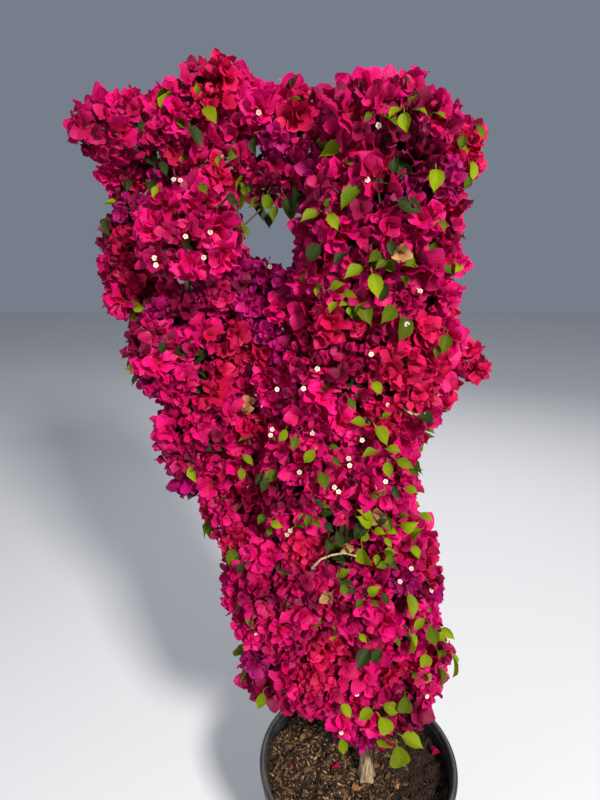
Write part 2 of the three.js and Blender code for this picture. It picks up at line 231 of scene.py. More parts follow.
def mesh_object(name: str, vertices: Array, faces: list, uv: Array | None = None, edges: tuple = ()) -> Piece:
    """Makes a smooth mesh object at the origin.

    Args:
        name: The object's name.
        vertices: One point in each row.
        faces: The corners of each face, as indices of vertices.
        uv: A place on the UV map for each vertex, if there is one.
        edges: The ends of each loose edge.

    Returns:
        The object, which is in the scene.
    """
    mesh = bpy.data.meshes.new(name)
    mesh.from_pydata(np.asarray(vertices, float).tolist(), edges, faces)
    mesh.polygons.foreach_set("use_smooth", [True] * len(mesh.polygons))
    if uv is not None:
        corners = np.empty(len(mesh.loops), np.int32)
        mesh.loops.foreach_get("vertex_index", corners)
        mesh.uv_layers.new(name="UVMap").data.foreach_set("uv", np.asarray(uv, np.float32)[corners].ravel())
    mesh.update()
    return placed(name, mesh)


def point_cloud(name: str, points: Array, edges: tuple = (), **attributes: Array) -> Piece:
    """Makes a mesh of points that carry attributes.

    Args:
        name: The object's name.
        points: One point in each row.
        edges: The ends of each edge, if there are any.
        attributes: For each name, a number or a vector for each point.

    Returns:
        The object.
    """
    made = mesh_object(name, points, [], edges=edges)
    for label, values in attributes.items():
        values = values.astype(np.int32 if values.dtype.kind == "i" else np.float32)
        kind = "FLOAT_VECTOR" if values.ndim == 2 else "INT" if values.dtype.kind == "i" else "FLOAT"
        store = made.data.attributes.new(label, kind, "POINT").data
        store.foreach_set("vector" if values.ndim == 2 else "value", values.ravel())
    return made


def settled(host: Piece, name: str) -> Piece:
    """Turns an object and its modifiers into a plain mesh object.

    Args:
        host: The object with modifiers, which is removed.
        name: The new object's name.

    Returns:
        The new object.
    """
    graph = bpy.context.evaluated_depsgraph_get()
    mesh = bpy.data.meshes.new_from_object(host.evaluated_get(graph), depsgraph=graph)
    bpy.data.objects.remove(host)
    mesh.name = name
    return placed(name, mesh)


def merge_into(body: Piece, part: Piece) -> None:
    """Adds a part's mesh to a body's mesh, and removes the part."""
    with bpy.context.temp_override(active_object=body, object=body, selected_editable_objects=[body, part]):
        bpy.ops.object.join()


def hand_over(piece: Piece, nodes: list[str], slot: Slot) -> None:
    """Gives a finished piece its body, hides the frame's nodes that it stands for, and reports it.

    Args:
        piece: The finished piece.
        nodes: The frame's nodes that it replaces.
        slot: The record's slot that it belongs to. It is not used.
    """
    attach(piece, BODY)
    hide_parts(*nodes)
    piece.data.calc_loop_triangles()
    LOG.info("%s: %d triangles", piece.name, len(piece.data.loop_triangles))


# Node groups and finishes


class Shader:
    """A node tree with short ways to add nodes and to join them."""

    def __init__(self, tree: Tree) -> None:
        """Takes the tree that nodes are added to."""
        self.tree = tree
        self.join = tree.links.new

    def add(self, kind: str, inputs: dict | None = None, **settings: object) -> Node:
        """Adds a node.

        Args:
            kind: The node's type name.
            inputs: A value or another node's output for each named or numbered input.
            settings: The node's own settings.

        Returns:
            The new node.
        """
        node = self.tree.nodes.new(kind)
        for key, value in settings.items():
            setattr(node, key, value)
        for key, value in (inputs or {}).items():
            if isinstance(value, Socket):
                self.join(value, node.inputs[key])
            else:
                node.inputs[key].default_value = value
        return node

    def math(self, operation: str, *values: object) -> Socket:
        """Adds a Math node and gives its output."""
        return self.add("ShaderNodeMath", dict(enumerate(values)), operation=operation).outputs[0]

    def times(self, first: object, second: object) -> Socket:
        """Multiplies two values."""
        return self.math("MULTIPLY", first, second)

    def plus(self, first: object, second: object) -> Socket:
        """Adds two values."""
        return self.math("ADD", first, second)

    def minus(self, first: object, second: object) -> Socket:
        """Takes the second value from the first."""
        return self.math("SUBTRACT", first, second)

    def ramp(self, value: Socket, start: float, end: float) -> Socket:
        """Maps a value smoothly to 0 at start and to 1 at end."""
        inputs = {0: value, 1: start, 2: end}
        return self.add("ShaderNodeMapRange", inputs, interpolation_type="SMOOTHSTEP").outputs[0]

    def blend(self, factor: object, first: object, second: object, mode: str = "MIX") -> Socket:
        """Mixes two colours and gives the result."""
        inputs = {0: factor, 6: first, 7: second}
        return self.add("ShaderNodeMix", inputs, data_type="RGBA", blend_type=mode).outputs[2]

    def noise(self, where: Socket, scale: object, detail: float) -> Socket:
        """Adds a Noise texture and gives its value."""
        inputs = {"Vector": where, "Scale": scale, "Detail": detail}
        return self.add("ShaderNodeTexNoise", inputs).outputs["Fac"]


def new_group(name: str, takes: dict[str, str], gives: dict[str, str]) -> tuple[Shader, dict, Node]:
    """Starts a shader node group.

    Args:
        name: The group's name.
        takes: The type of each named input: Float, Color or Vector.
        gives: The type of each named output.

    Returns:
        The group's shader, its inputs by name, and its output node.
    """
    tree = bpy.data.node_groups.new(name, "ShaderNodeTree")
    for direction, sockets in (("INPUT", takes), ("OUTPUT", gives)):
        for label, kind in sockets.items():
            tree.interface.new_socket(label, in_out=direction, socket_type=f"NodeSocket{kind}")
    shader = Shader(tree)
    entry = shader.add("NodeGroupInput")
    return shader, {label: entry.outputs[label] for label in takes}, shader.add("NodeGroupOutput")


@cache
def papery_group() -> Tree:
    """Builds the look of a thin blade: a darker heart at its foot, fine veins, a lighter rim that is paler
    tissue with a painted highlight, and mottling.

    Returns:
        The node group, which reads the blade's UV map, with the blade's length along V.
    """
    takes = {"Blade": "Color", "Heart": "Color", "Vein": "Color", "Vein Share": "Float", "Shade": "Float"}
    shader, given, out = new_group("papery_blade", takes, {"Color": "Color", "Height": "Float"})
    times, plus, minus = shader.times, shader.plus, shader.minus
    place = shader.add("ShaderNodeTexCoord")
    split = shader.add("ShaderNodeSeparateXYZ", {0: place.outputs["UV"]})
    across = times(shader.math("ABSOLUTE", minus(split.outputs[0], 0.5)), 2.0)
    along = split.outputs[1]
    slant = minus(times(along, 7.0), times(across, 2.6))
    side_veins = shader.ramp(shader.math("PINGPONG", slant, 0.5), 0.13, 0.0)
    midrib = shader.ramp(across, 0.09, 0.0)
    # The lighter rim: paler tissue with a painted highlight.
    rim = times(shader.ramp(across, 0.82, 1.0), 0.8)
    veins = shader.math("MAXIMUM", shader.math("MAXIMUM", midrib, rim), times(side_veins, 0.7))
    foot = shader.math("POWER", minus(1.0, along), 1.3)
    base = shader.blend(times(foot, 0.9), given["Blade"], given["Heart"])
    base = shader.blend(times(veins, given["Vein Share"]), base, given["Vein"])
    mottle = shader.noise(place.outputs["Object"], 130.0, 3.0)
    level = plus(given["Shade"], times(mottle, 0.35))
    level = shader.add("ShaderNodeCombineColor", {0: level, 1: level, 2: level}).outputs[0]
    shader.join(shader.blend(1.0, base, level, "MULTIPLY"), out.inputs["Color"])
    creases = shader.noise(place.outputs["Object"], 340.0, 2.0)
    shader.join(minus(plus(mottle, times(creases, 0.8)), veins), out.inputs["Height"])
    return shader.tree


@cache
def fibre_group() -> Tree:
    """Builds woody fibre that runs up the piece, with darker cracks.

    Returns:
        The node group, which reads Object coordinates.
    """
    takes = {"Dark": "Color", "Light": "Color", "Crack": "Color", "Scale": "Float", "Stretch": "Float"}
    shader, given, out = new_group("woody_fibre", takes, {"Color": "Color", "Height": "Float"})
    place = shader.add("ShaderNodeTexCoord").outputs["Object"]
    stretch = shader.add("ShaderNodeCombineXYZ", {0: 1.0, 1: 1.0, 2: given["Stretch"]}).outputs[0]
    drawn = shader.add("ShaderNodeVectorMath", {0: place, 1: stretch}, operation="MULTIPLY").outputs[0]
    fibre = shader.noise(drawn, given["Scale"], 6.0)
    grain = shader.plus(shader.times(fibre, 0.7), shader.times(shader.noise(place, 38.0, 3.0), 0.3))
    colour = shader.blend(shader.ramp(grain, 0.36, 0.66), given["Dark"], given["Light"])
    cracks = shader.ramp(fibre, 0.44, 0.34)
    shader.join(shader.blend(cracks, colour, given["Crack"]), out.inputs["Color"])
    shader.join(shader.minus(grain, cracks), out.inputs["Height"])
    return shader.tree


@cache
def dust_group() -> Tree:
    """Builds dust in patches, splashes of soil and fine scuffs over a clean colour.

    Returns:
        The node group, which reads Object coordinates.
    """
    takes = {"Clean": "Color", "Dust": "Color", "Amount": "Float", "Scale": "Float"}
    gives = {"Color": "Color", "Roughness": "Float", "Height": "Float"}
    shader, given, out = new_group("dust_and_scuffs", takes, gives)
    times, plus = shader.times, shader.plus
    place = shader.add("ShaderNodeTexCoord").outputs["Object"]
    patches = shader.ramp(shader.noise(place, given["Scale"], 8.0), 0.38, 0.74)
    splashes = shader.ramp(shader.noise(place, 95.0, 5.0), 0.56, 0.72)
    squeeze = shader.add("ShaderNodeMapping", {"Vector": place, "Scale": (9.0, 9.0, 260.0)}).outputs[0]
    scuffs = shader.ramp(shader.noise(squeeze, 1.6, 4.0), 0.6, 0.74)
    cover = plus(plus(patches, times(splashes, 0.5)), times(scuffs, 0.45))
    cover = shader.add("ShaderNodeClamp", {0: times(cover, given["Amount"])}).outputs[0]
    shader.join(shader.blend(cover, given["Clean"], given["Dust"]), out.inputs["Color"])
    shader.join(plus(0.42, times(cover, 0.5)), out.inputs["Roughness"])
    shader.join(shader.minus(splashes, scuffs), out.inputs["Height"])
    return shader.tree


class Finish:
    """What the finishes share: a surface that takes its colours and its relief from a node group."""

    name: str
    relief: float
    roughness: float
    gloss: float

    def _covered(self, group: Tree, *values: object) -> tuple[Shader, Node, Material]:
        """Starts the finish's material.

        Args:
            group: The node group.
            values: A colour or a number for each of its inputs, in their order.

        Returns:
            The material's shader, its group's node and the material.
        """
        material = bpy.data.materials.new(self.name)
        material.use_nodes = True
        shader = Shader(material.node_tree)
        surface = material.node_tree.nodes["Principled BSDF"]
        values = [(*value, 1) if isinstance(value, tuple) else value for value in values]
        look = shader.add("ShaderNodeGroup", dict(enumerate(values)), node_tree=group)
        shader.join(look.outputs["Color"], surface.inputs["Base Color"])
        surface.inputs["Roughness"].default_value = self.roughness
        surface.inputs["Specular IOR Level"].default_value = self.gloss
        inputs = {"Height": look.outputs["Height"], "Distance": self.relief, "Strength": 0.7}
        shader.join(shader.add("ShaderNodeBump", inputs).outputs[0], surface.inputs["Normal"])
        return shader, look, material


@dataclass(frozen=True)
class BladeFinish(Finish):
    """A thin blade that lets some light through: a bract, a leaf or a petal."""

    name: str
    blade: Colour
    heart: Colour
    vein: Colour
    vein_share: float = 0.3
    roughness: float = 0.55
    gloss: float = 0.25
    through: float = 0.32
    relief: float = 0.0008

    def material(self) -> Material:
        """Builds the finish's material.

        Returns:
            The material, which reads the pieces' own attribute named shade.
        """
        values = (self.blade, self.heart, self.vein, self.vein_share)
        shader, look, material = self._covered(papery_group(), *values)
        shade = shader.add("ShaderNodeAttribute", attribute_name="shade").outputs["Fac"]
        shader.join(shader.plus(0.58, shader.times(shade, 0.5)), look.inputs["Shade"])
        behind = shader.add("ShaderNodeBsdfTranslucent", {"Color": look.outputs["Color"]})
        front = material.node_tree.nodes["Principled BSDF"]
        both = shader.add("ShaderNodeMixShader", {0: self.through, 1: front.outputs[0], 2: behind.outputs[0]})
        shader.join(both.outputs[0], material.node_tree.nodes["Material Output"].inputs[0])
        return material


@dataclass(frozen=True)
class WoodFinish(Finish):
    """Bark, bark chips or a twig's skin."""

    name: str
    dark: Colour
    light: Colour
    crack: Colour
    scale: float
    stretch: float
    relief: float
    roughness: float = 0.85
    gloss: float = 0.2

    def material(self) -> Material:
        """Builds the finish's material."""
        return self._covered(fibre_group(), self.dark, self.light, self.crack, self.scale, self.stretch)[2]


@dataclass(frozen=True)
class PlasticFinish(Finish):
    """Matte plastic that has gathered dust and scuffs."""

    name: str
    clean: Colour
    dust: Colour
    amount: float
    scale: float
    relief: float
    roughness: float = 0.5
    gloss: float = 0.5

    def material(self) -> Material:
        """Builds the finish's material.

        Returns:
            The material, whose roughness goes by its dust.
        """
        shader, look, material = self._covered(dust_group(), self.clean, self.dust, self.amount, self.scale)
        surface = material.node_tree.nodes["Principled BSDF"]
        shader.join(look.outputs["Roughness"], surface.inputs["Roughness"])
        return material


class Tint(Enum):
    """The colours of bracts, each dealt out to whole heads of blossom. The bright tint is the magenta with
    painted sunlight. The violet tint is the same magenta with painted shade, and the dim tint is that magenta
    with painted shadow. The deep tint is partly the bracts' own deeper colour and partly painted half shade.
    """

    # Painted sunlight: the magenta as it looks in the sun.
    BRIGHT = BladeFinish("bract_bright", (0.63, 0.0005, 0.155), (0.50, 0.001, 0.030), (0.78, 0.03, 0.29))
    # Partly the bracts' own deeper magenta, partly painted half shade.
    DEEP = BladeFinish("bract_deep", (0.48, 0.0005, 0.108), (0.36, 0.001, 0.018), (0.66, 0.015, 0.22))
    CRIMSON = BladeFinish("bract_crimson", (0.55, 0.001, 0.080), (0.42, 0.002, 0.014), (0.74, 0.03, 0.18))
    # Painted shade: the magenta as it looks in sky-lit shade.
    VIOLET = BladeFinish("bract_violet", (0.40, 0.0005, 0.140), (0.28, 0.001, 0.040), (0.58, 0.02, 0.28))
    # Painted shadow: near-black magenta for the hollows and for the heads under the surface.
    DIM = BladeFinish("bract_dim", (0.20, 0.0004, 0.042), (0.14, 0.0005, 0.010), (0.29, 0.006, 0.08))
    DRIED = BladeFinish(
        "bract_dried", (0.50, 0.27, 0.11), (0.28, 0.13, 0.05), (0.26, 0.12, 0.05), 0.5, 0.8
    )


class Green(Enum):
    """The greens of leaves, each dealt out to whole sprays. They stand for leaves that are sunlit, in half
    shade (the middle green) and in shade (the dark green): painted light and shade.
    """

    SUNLIT = BladeFinish(
        "leaf_sunlit", (0.20, 0.27, 0.001), (0.12, 0.18, 0.001), (0.38, 0.43, 0.01), 0.35, 0.5, 0.12
    )
    # Painted half shade: the leaf green as it looks half in shade.
    MIDDLE = BladeFinish(
        "leaf_middle", (0.095, 0.135, 0.002), (0.055, 0.09, 0.002), (0.19, 0.24, 0.01), 0.35, 0.5, 0.12
    )
    # Painted shade: the leaf green as it looks in shadow, under the blossom and in the hollows.
    DARK = BladeFinish(
        "leaf_dark", (0.024, 0.038, 0.004), (0.012, 0.022, 0.004), (0.05, 0.08, 0.012), 0.35, 0.5, 0.15, 0.2
    )


class ChipTint(Enum):
    """The shades of the bark chips in the potting mix: dark and brown bark, and tan bark that is paler bark
    with painted sunlight.
    """

    DARK = WoodFinish(
        "chip_dark", (0.010, 0.005, 0.003), (0.036, 0.018, 0.01), (0.005, 0.003, 0.002), 320.0, 0.5, 0.001
    )
    BROWN = WoodFinish(
        "chip_brown", (0.05, 0.024, 0.011), (0.15, 0.08, 0.037), (0.016, 0.008, 0.005), 320.0, 0.5, 0.001
    )
    TAN = WoodFinish(
        "chip_tan", (0.16, 0.09, 0.04), (0.40, 0.25, 0.12), (0.08, 0.04, 0.02), 320.0, 0.5, 0.001
    )


PETAL = BladeFinish("floret", (0.92, 0.86, 0.66), (0.34, 0.20, 0.04), (0.95, 0.93, 0.80), 0.1, 0.5, 0.3)
BARK = WoodFinish(
    "bark", (0.16, 0.105, 0.06), (0.42, 0.31, 0.19), (0.055, 0.036, 0.022), 150.0, 0.12, 0.0016
)
TWIG_SKIN = WoodFinish(
    "twig_skin", (0.04, 0.03, 0.012), (0.11, 0.085, 0.032), (0.03, 0.015, 0.01), 260.0, 0.2, 0.0004
)
# Painted sunlight: a paler copy of the twig skin for the bare twigs that the sun catches.
SUNLIT_TWIG_SKIN = WoodFinish(
    "pale_twig", (0.20, 0.14, 0.07), (0.46, 0.36, 0.21), (0.10, 0.06, 0.03), 260.0, 0.2, 0.0004
)
MIX_SKIN = WoodFinish(
    "mix", (0.010, 0.005, 0.003), (0.036, 0.019, 0.010), (0.004, 0.003, 0.002), 210.0, 1.0, 0.003
)
BLACK_PLASTIC = PlasticFinish("pot_plastic", (0.012, 0.0125, 0.0135), (0.15, 0.135, 0.115), 0.32, 9.0, 0.0004)
PERLITE = WoodFinish(
    "perlite", (0.55, 0.54, 0.50), (0.85, 0.84, 0.80), (0.35, 0.33, 0.30), 300.0, 1.0, 0.0008
)


# Geometry Nodes, and the shapes that they set out


class Arranger:
    """A Geometry Nodes tree that sets out or sweeps what repeats, and ends in mesh with its material."""

    TAKES: dict[str, str] = {}

    def __init__(self) -> None:
        """Builds the tree with its named inputs."""
        tree = bpy.data.node_groups.new(type(self).__name__, "GeometryNodeTree")
        for label, kind in ({"Geometry": "Geometry", "Finish": "Material"} | self.TAKES).items():
            tree.interface.new_socket(label, in_out="INPUT", socket_type=f"NodeSocket{kind}")
        tree.interface.new_socket("Geometry", in_out="OUTPUT", socket_type="NodeSocketGeometry")
        self.maker = Shader(tree)
        self.given = self.maker.add("NodeGroupInput").outputs
        real = self._add("GeometryNodeRealizeInstances", {0: self._arranged()})
        painted = self._add("GeometryNodeSetMaterial", {0: real, "Material": self.given["Finish"]})
        self.maker.add("NodeGroupOutput", {0: painted})

    def _arranged(self) -> Socket:
        """Builds the nodes that arrange the geometry, which each kind of tree does in its own way."""
        raise NotImplementedError

    def _add(self, kind: str, inputs: dict, **settings: object) -> Socket:
        """Adds a node and gives its first output that is in use."""
        return next(output for output in self.maker.add(kind, inputs, **settings).outputs if output.enabled)

    def _read(self, name: str, kind: str) -> Socket:
        """Reads a named attribute of the points."""
        return self._add("GeometryNodeInputNamedAttribute", {"Name": name}, data_type=kind)

    def _instances(self, points: Socket, turn: Socket, size: Socket, index: Socket | None = None) -> Socket:
        """Sets one of the collection's shapes at each point.

        Args:
            points: The points.
            turn: The Euler angles of each shape.
            size: The size of each.
            index: The number of each shape, where it isn't left to the points' order.

        Returns:
            The instances.
        """
        inputs = {"Collection": self.given["Shapes"], "Separate Children": True, "Reset Children": True}
        inputs = {"Instance": self._add("GeometryNodeCollectionInfo", inputs), "Pick Instance": True}
        inputs |= {"Points": points, "Rotation": self._add("FunctionNodeEulerToRotation", {0: turn})}
        inputs |= {"Scale": size} | ({"Instance Index": index} if index else {})
        return self._add("GeometryNodeInstanceOnPoints", inputs)

    def run(self, host: Piece, name: str, values: dict) -> Piece:
        """Runs the tree on an object and keeps the result as a plain mesh.

        Args:
            host: The object that it works on, which is removed.
            name: The result's name.
            values: A value for each named input of the tree.

        Returns:
            The new object.
        """
        modifier = host.modifiers.new(name, "NODES")
        modifier.node_group = self.maker.tree
        for item in self.maker.tree.interface.items_tree:
            if item.in_out == "INPUT" and item.name in values:
                modifier[item.identifier] = values[item.name]
        made = settled(host, name)
        made.data.materials.clear()
        made.data.materials.append(values["Finish"])
        made.data.polygons.foreach_set("material_index", [0] * len(made.data.polygons))
        return made


class SprayArranger(Arranger):
    """Sets one of several shapes at each point, turned and sized by the point, with a random shade."""

    TAKES = {"Shapes": "Collection", "Seed": "Int"}

    def _arranged(self) -> Socket:
        """Builds the nodes that set out the shapes and store a number named shade, from 0 to 1.

        Returns:
            The shapes.
        """
        size, index = self._read("size", "FLOAT_VECTOR"), self._read("shape", "INT")
        turn = self._read("turn", "FLOAT_VECTOR")
        set_out = self._instances(self.given["Geometry"], turn, size, index)
        chance = self._add("FunctionNodeRandomValue", {"Seed": self.given["Seed"]}, data_type="FLOAT")
        inputs = {"Geometry": set_out, "Name": "shade", "Value": chance}
        return self._add("GeometryNodeStoreNamedAttribute", inputs, data_type="FLOAT", domain="INSTANCE")


class TwigArranger(Arranger):
    """Sweeps a round section along edges, as thick as their points say."""

    TAKES = {"Sides": "Int"}

    def _arranged(self) -> Socket:
        """Builds the nodes that sweep the section.

        Returns:
            The swept mesh.
        """
        curve = self._add("GeometryNodeMeshToCurve", {0: self.given["Geometry"]})
        inputs = {"Resolution": self.given["Sides"], "Radius": 1.0}
        section = self._add("GeometryNodeCurvePrimitiveCircle", inputs, mode="RADIUS")
        girth = self._read("girth", "FLOAT")
        inputs = {"Curve": curve, "Profile Curve": section, "Scale": girth, "Fill Caps": True}
        return self._add("GeometryNodeCurveToMesh", inputs)


class ChipArranger(Arranger):
    """Scatters shapes over a surface, lying at most a little tilted."""

    TAKES = {"Shapes": "Collection", "Seed": "Int"}
    TAKES |= {"Spacing": "Float", "Least Size": "Float", "Most Size": "Float"}
    DENSITY = 60000.0
    TILT = 0.6

    def _arranged(self) -> Socket:
        """Builds the nodes that scatter the shapes.

        Returns:
            The shapes.
        """
        seed = self.given["Seed"]
        inputs = {0: self.given["Geometry"], "Distance Min": self.given["Spacing"]}
        inputs |= {"Seed": seed, "Density Max": self.DENSITY}
        points = self._add("GeometryNodeDistributePointsOnFaces", inputs, distribute_method="POISSON")
        inputs = {0: (-self.TILT, -self.TILT, 0), 1: (self.TILT, self.TILT, FULL_TURN), "Seed": seed}
        turn = self._add("FunctionNodeRandomValue", inputs, data_type="FLOAT_VECTOR")
        inputs = {2: self.given["Least Size"], 3: self.given["Most Size"], "Seed": seed}
        return self._instances(points, turn, self._add("FunctionNodeRandomValue", inputs, data_type="FLOAT"))


class ShapeStore:
    """A collection of shapes that a tree sets out. Its shapes leave the scene once they are used."""

    def __init__(self, name: str, shapes: list) -> None:
        """Keeps the shapes.

        Args:
            name: The collection's name.
            shapes: The vertices, the faces and, if there is one, the UV map of each.
        """
        self.collection = bpy.data.collections.new(name)
        bpy.context.scene.collection.children.link(self.collection)
        for number, shape in enumerate(shapes):
            made = mesh_object(f"{name}_{number:02d}", *shape)
            bpy.context.scene.collection.objects.unlink(made)
            self.collection.objects.link(made)

    def clear(self) -> None:
        """Removes the shapes and the collection."""
        for made in list(self.collection.objects):
            bpy.data.objects.remove(made)
        bpy.data.collections.remove(self.collection)


# Curves


class Route:
    """A smooth curve through points, measured along its length. It is a centripetal Catmull-Rom curve."""

    DIVISIONS = 200
    SAME_PLACE = 1e-7

    def __init__(self, points: list) -> None:
        """Measures the curve.

        Args:
            points: The points that it runs through.
        """
        points = np.array(points, float)
        self.padded = np.vstack([2 * points[0] - points[1], points, 2 * points[-1] - points[-2]])
        self.shares = np.linspace(0, 1, self.DIVISIONS + 1)
        self.reached = np.append(0, np.cumsum(norm(np.diff(self._at_raw(self.shares), axis=0))))
        self.length = self.reached[-1]

    def _at_raw(self, shares: Array) -> Array:
        """Gives the points at shares of the curve's own parameter.

        Args:
            shares: The shares, from 0 to 1.

        Returns:
            One point in each row.
        """
        spans = len(self.padded) - 3
        place = np.clip(shares, 0, 1) * spans
        index = np.minimum(place.astype(int), spans - 1)
        t = (place - index)[:, None]
        p0, p1, p2, p3 = (self.padded[index + i] for i in range(4))
        gaps = [norm(b - a) for a, b in ((p0, p1), (p1, p2), (p2, p3))]
        d0, d1, d2 = (np.maximum(gap, self.SAME_PLACE)[:, None] ** 0.5 for gap in gaps)
        t1 = ((p1 - p0) / d0 - (p2 - p0) / (d0 + d1) + (p2 - p1) / d1) * d1
        t2 = ((p2 - p1) / d1 - (p3 - p1) / (d1 + d2) + (p3 - p2) / d2) * d1
        return p1 + t1 * t + (3 * (p2 - p1) - 2 * t1 - t2) * t**2 + (2 * (p1 - p2) + t1 + t2) * t**3

    def at(self, shares: Array | float) -> Array:
        """Gives the points at shares of the curve's length.

        Args:
            shares: One share or several, from 0 to 1.

        Returns:
            One point in each row, or one point for one share.
        """
        wanted = np.atleast_1d(shares) * self.length
        points = self._at_raw(np.interp(wanted, self.reached, self.shares))
        return points[0] if np.ndim(shares) == 0 else points


@dataclass
class LimbTube:
    """The bark-covered tube of one limb."""

    name: str
    route: Route
    radii: Pair
    sides: int = 16
    ring_step: float = 0.007
    ridge: float = 0.09
    knot: float = 0.6
    ridge_noise: Point = (2.4, 16.0, 0.0)
    knot_noise: Point = (0.9, 34.0, 7.0)
    flare: float = 0.0
    flare_reach: float = 0.16
    roots: int = 5
    collar: float = 0.5
    collar_reach: float = 0.02
    cut: float = -1.0

    def _radius(self, share: float, angle: Array) -> Array:
        """Gives the tube's radius with the bark's ridges and knots.

        Args:
            share: The share of the limb's length.
            angle: The angles round it.

        Returns:
            The radius at each angle.
        """
        reached = share * self.route.length
        radius = self.radii[0] + (self.radii[1] - self.radii[0]) * share
        root = 0.75 + 0.35 * np.cos(self.roots * angle + 0.6)
        radius = radius + self.flare * np.exp(-share / self.flare_reach) * root
        swell = 1 + self.collar * np.exp(-reached / self.collar_reach)
        rounds = ring(self.sides)[:, :2]
        ridges, knots = (
            np.array([noise.noise(Vector((x * wide, y * wide, reached * high + start))) for x, y in rounds])
            for wide, high, start in (self.ridge_noise, self.knot_noise)
        )
        return radius * swell * (1 + self.ridge * ridges + self.knot * self.ridge * knots)

    def build(self, material: Material) -> Piece:
        """Builds the limb's mesh, closed at both ends.

        Args:
            material: The bark.

        Returns:
            The finished object.
        """
        shares = np.linspace(0, 1, max(8, round(self.route.length / self.ring_step)) + 1)
        centres = self.route.at(shares)
        tangents = unit(np.gradient(centres, axis=0))
        side = unit(np.cross(tangents[0], np.array([0.3, 1.0, 0.1])))
        rings, angles = [], np.arange(self.sides) / self.sides * FULL_TURN
        for share, centre, tangent in zip(shares, centres, tangents):
            side = unit(side - tangent * (side @ tangent))
            outs = np.outer(np.cos(angles), side) + np.outer(np.sin(angles), np.cross(tangent, side))
            points = centre + outs * self._radius(share, angles)[:, None]
            points[:, 2] = np.maximum(points[:, 2], self.cut)
            rings.append(points)
        made = mesh_object(f"{self.name}_bark", *shell(rings))
        made.data.materials.append(material)
        return made


# The pot and its mix


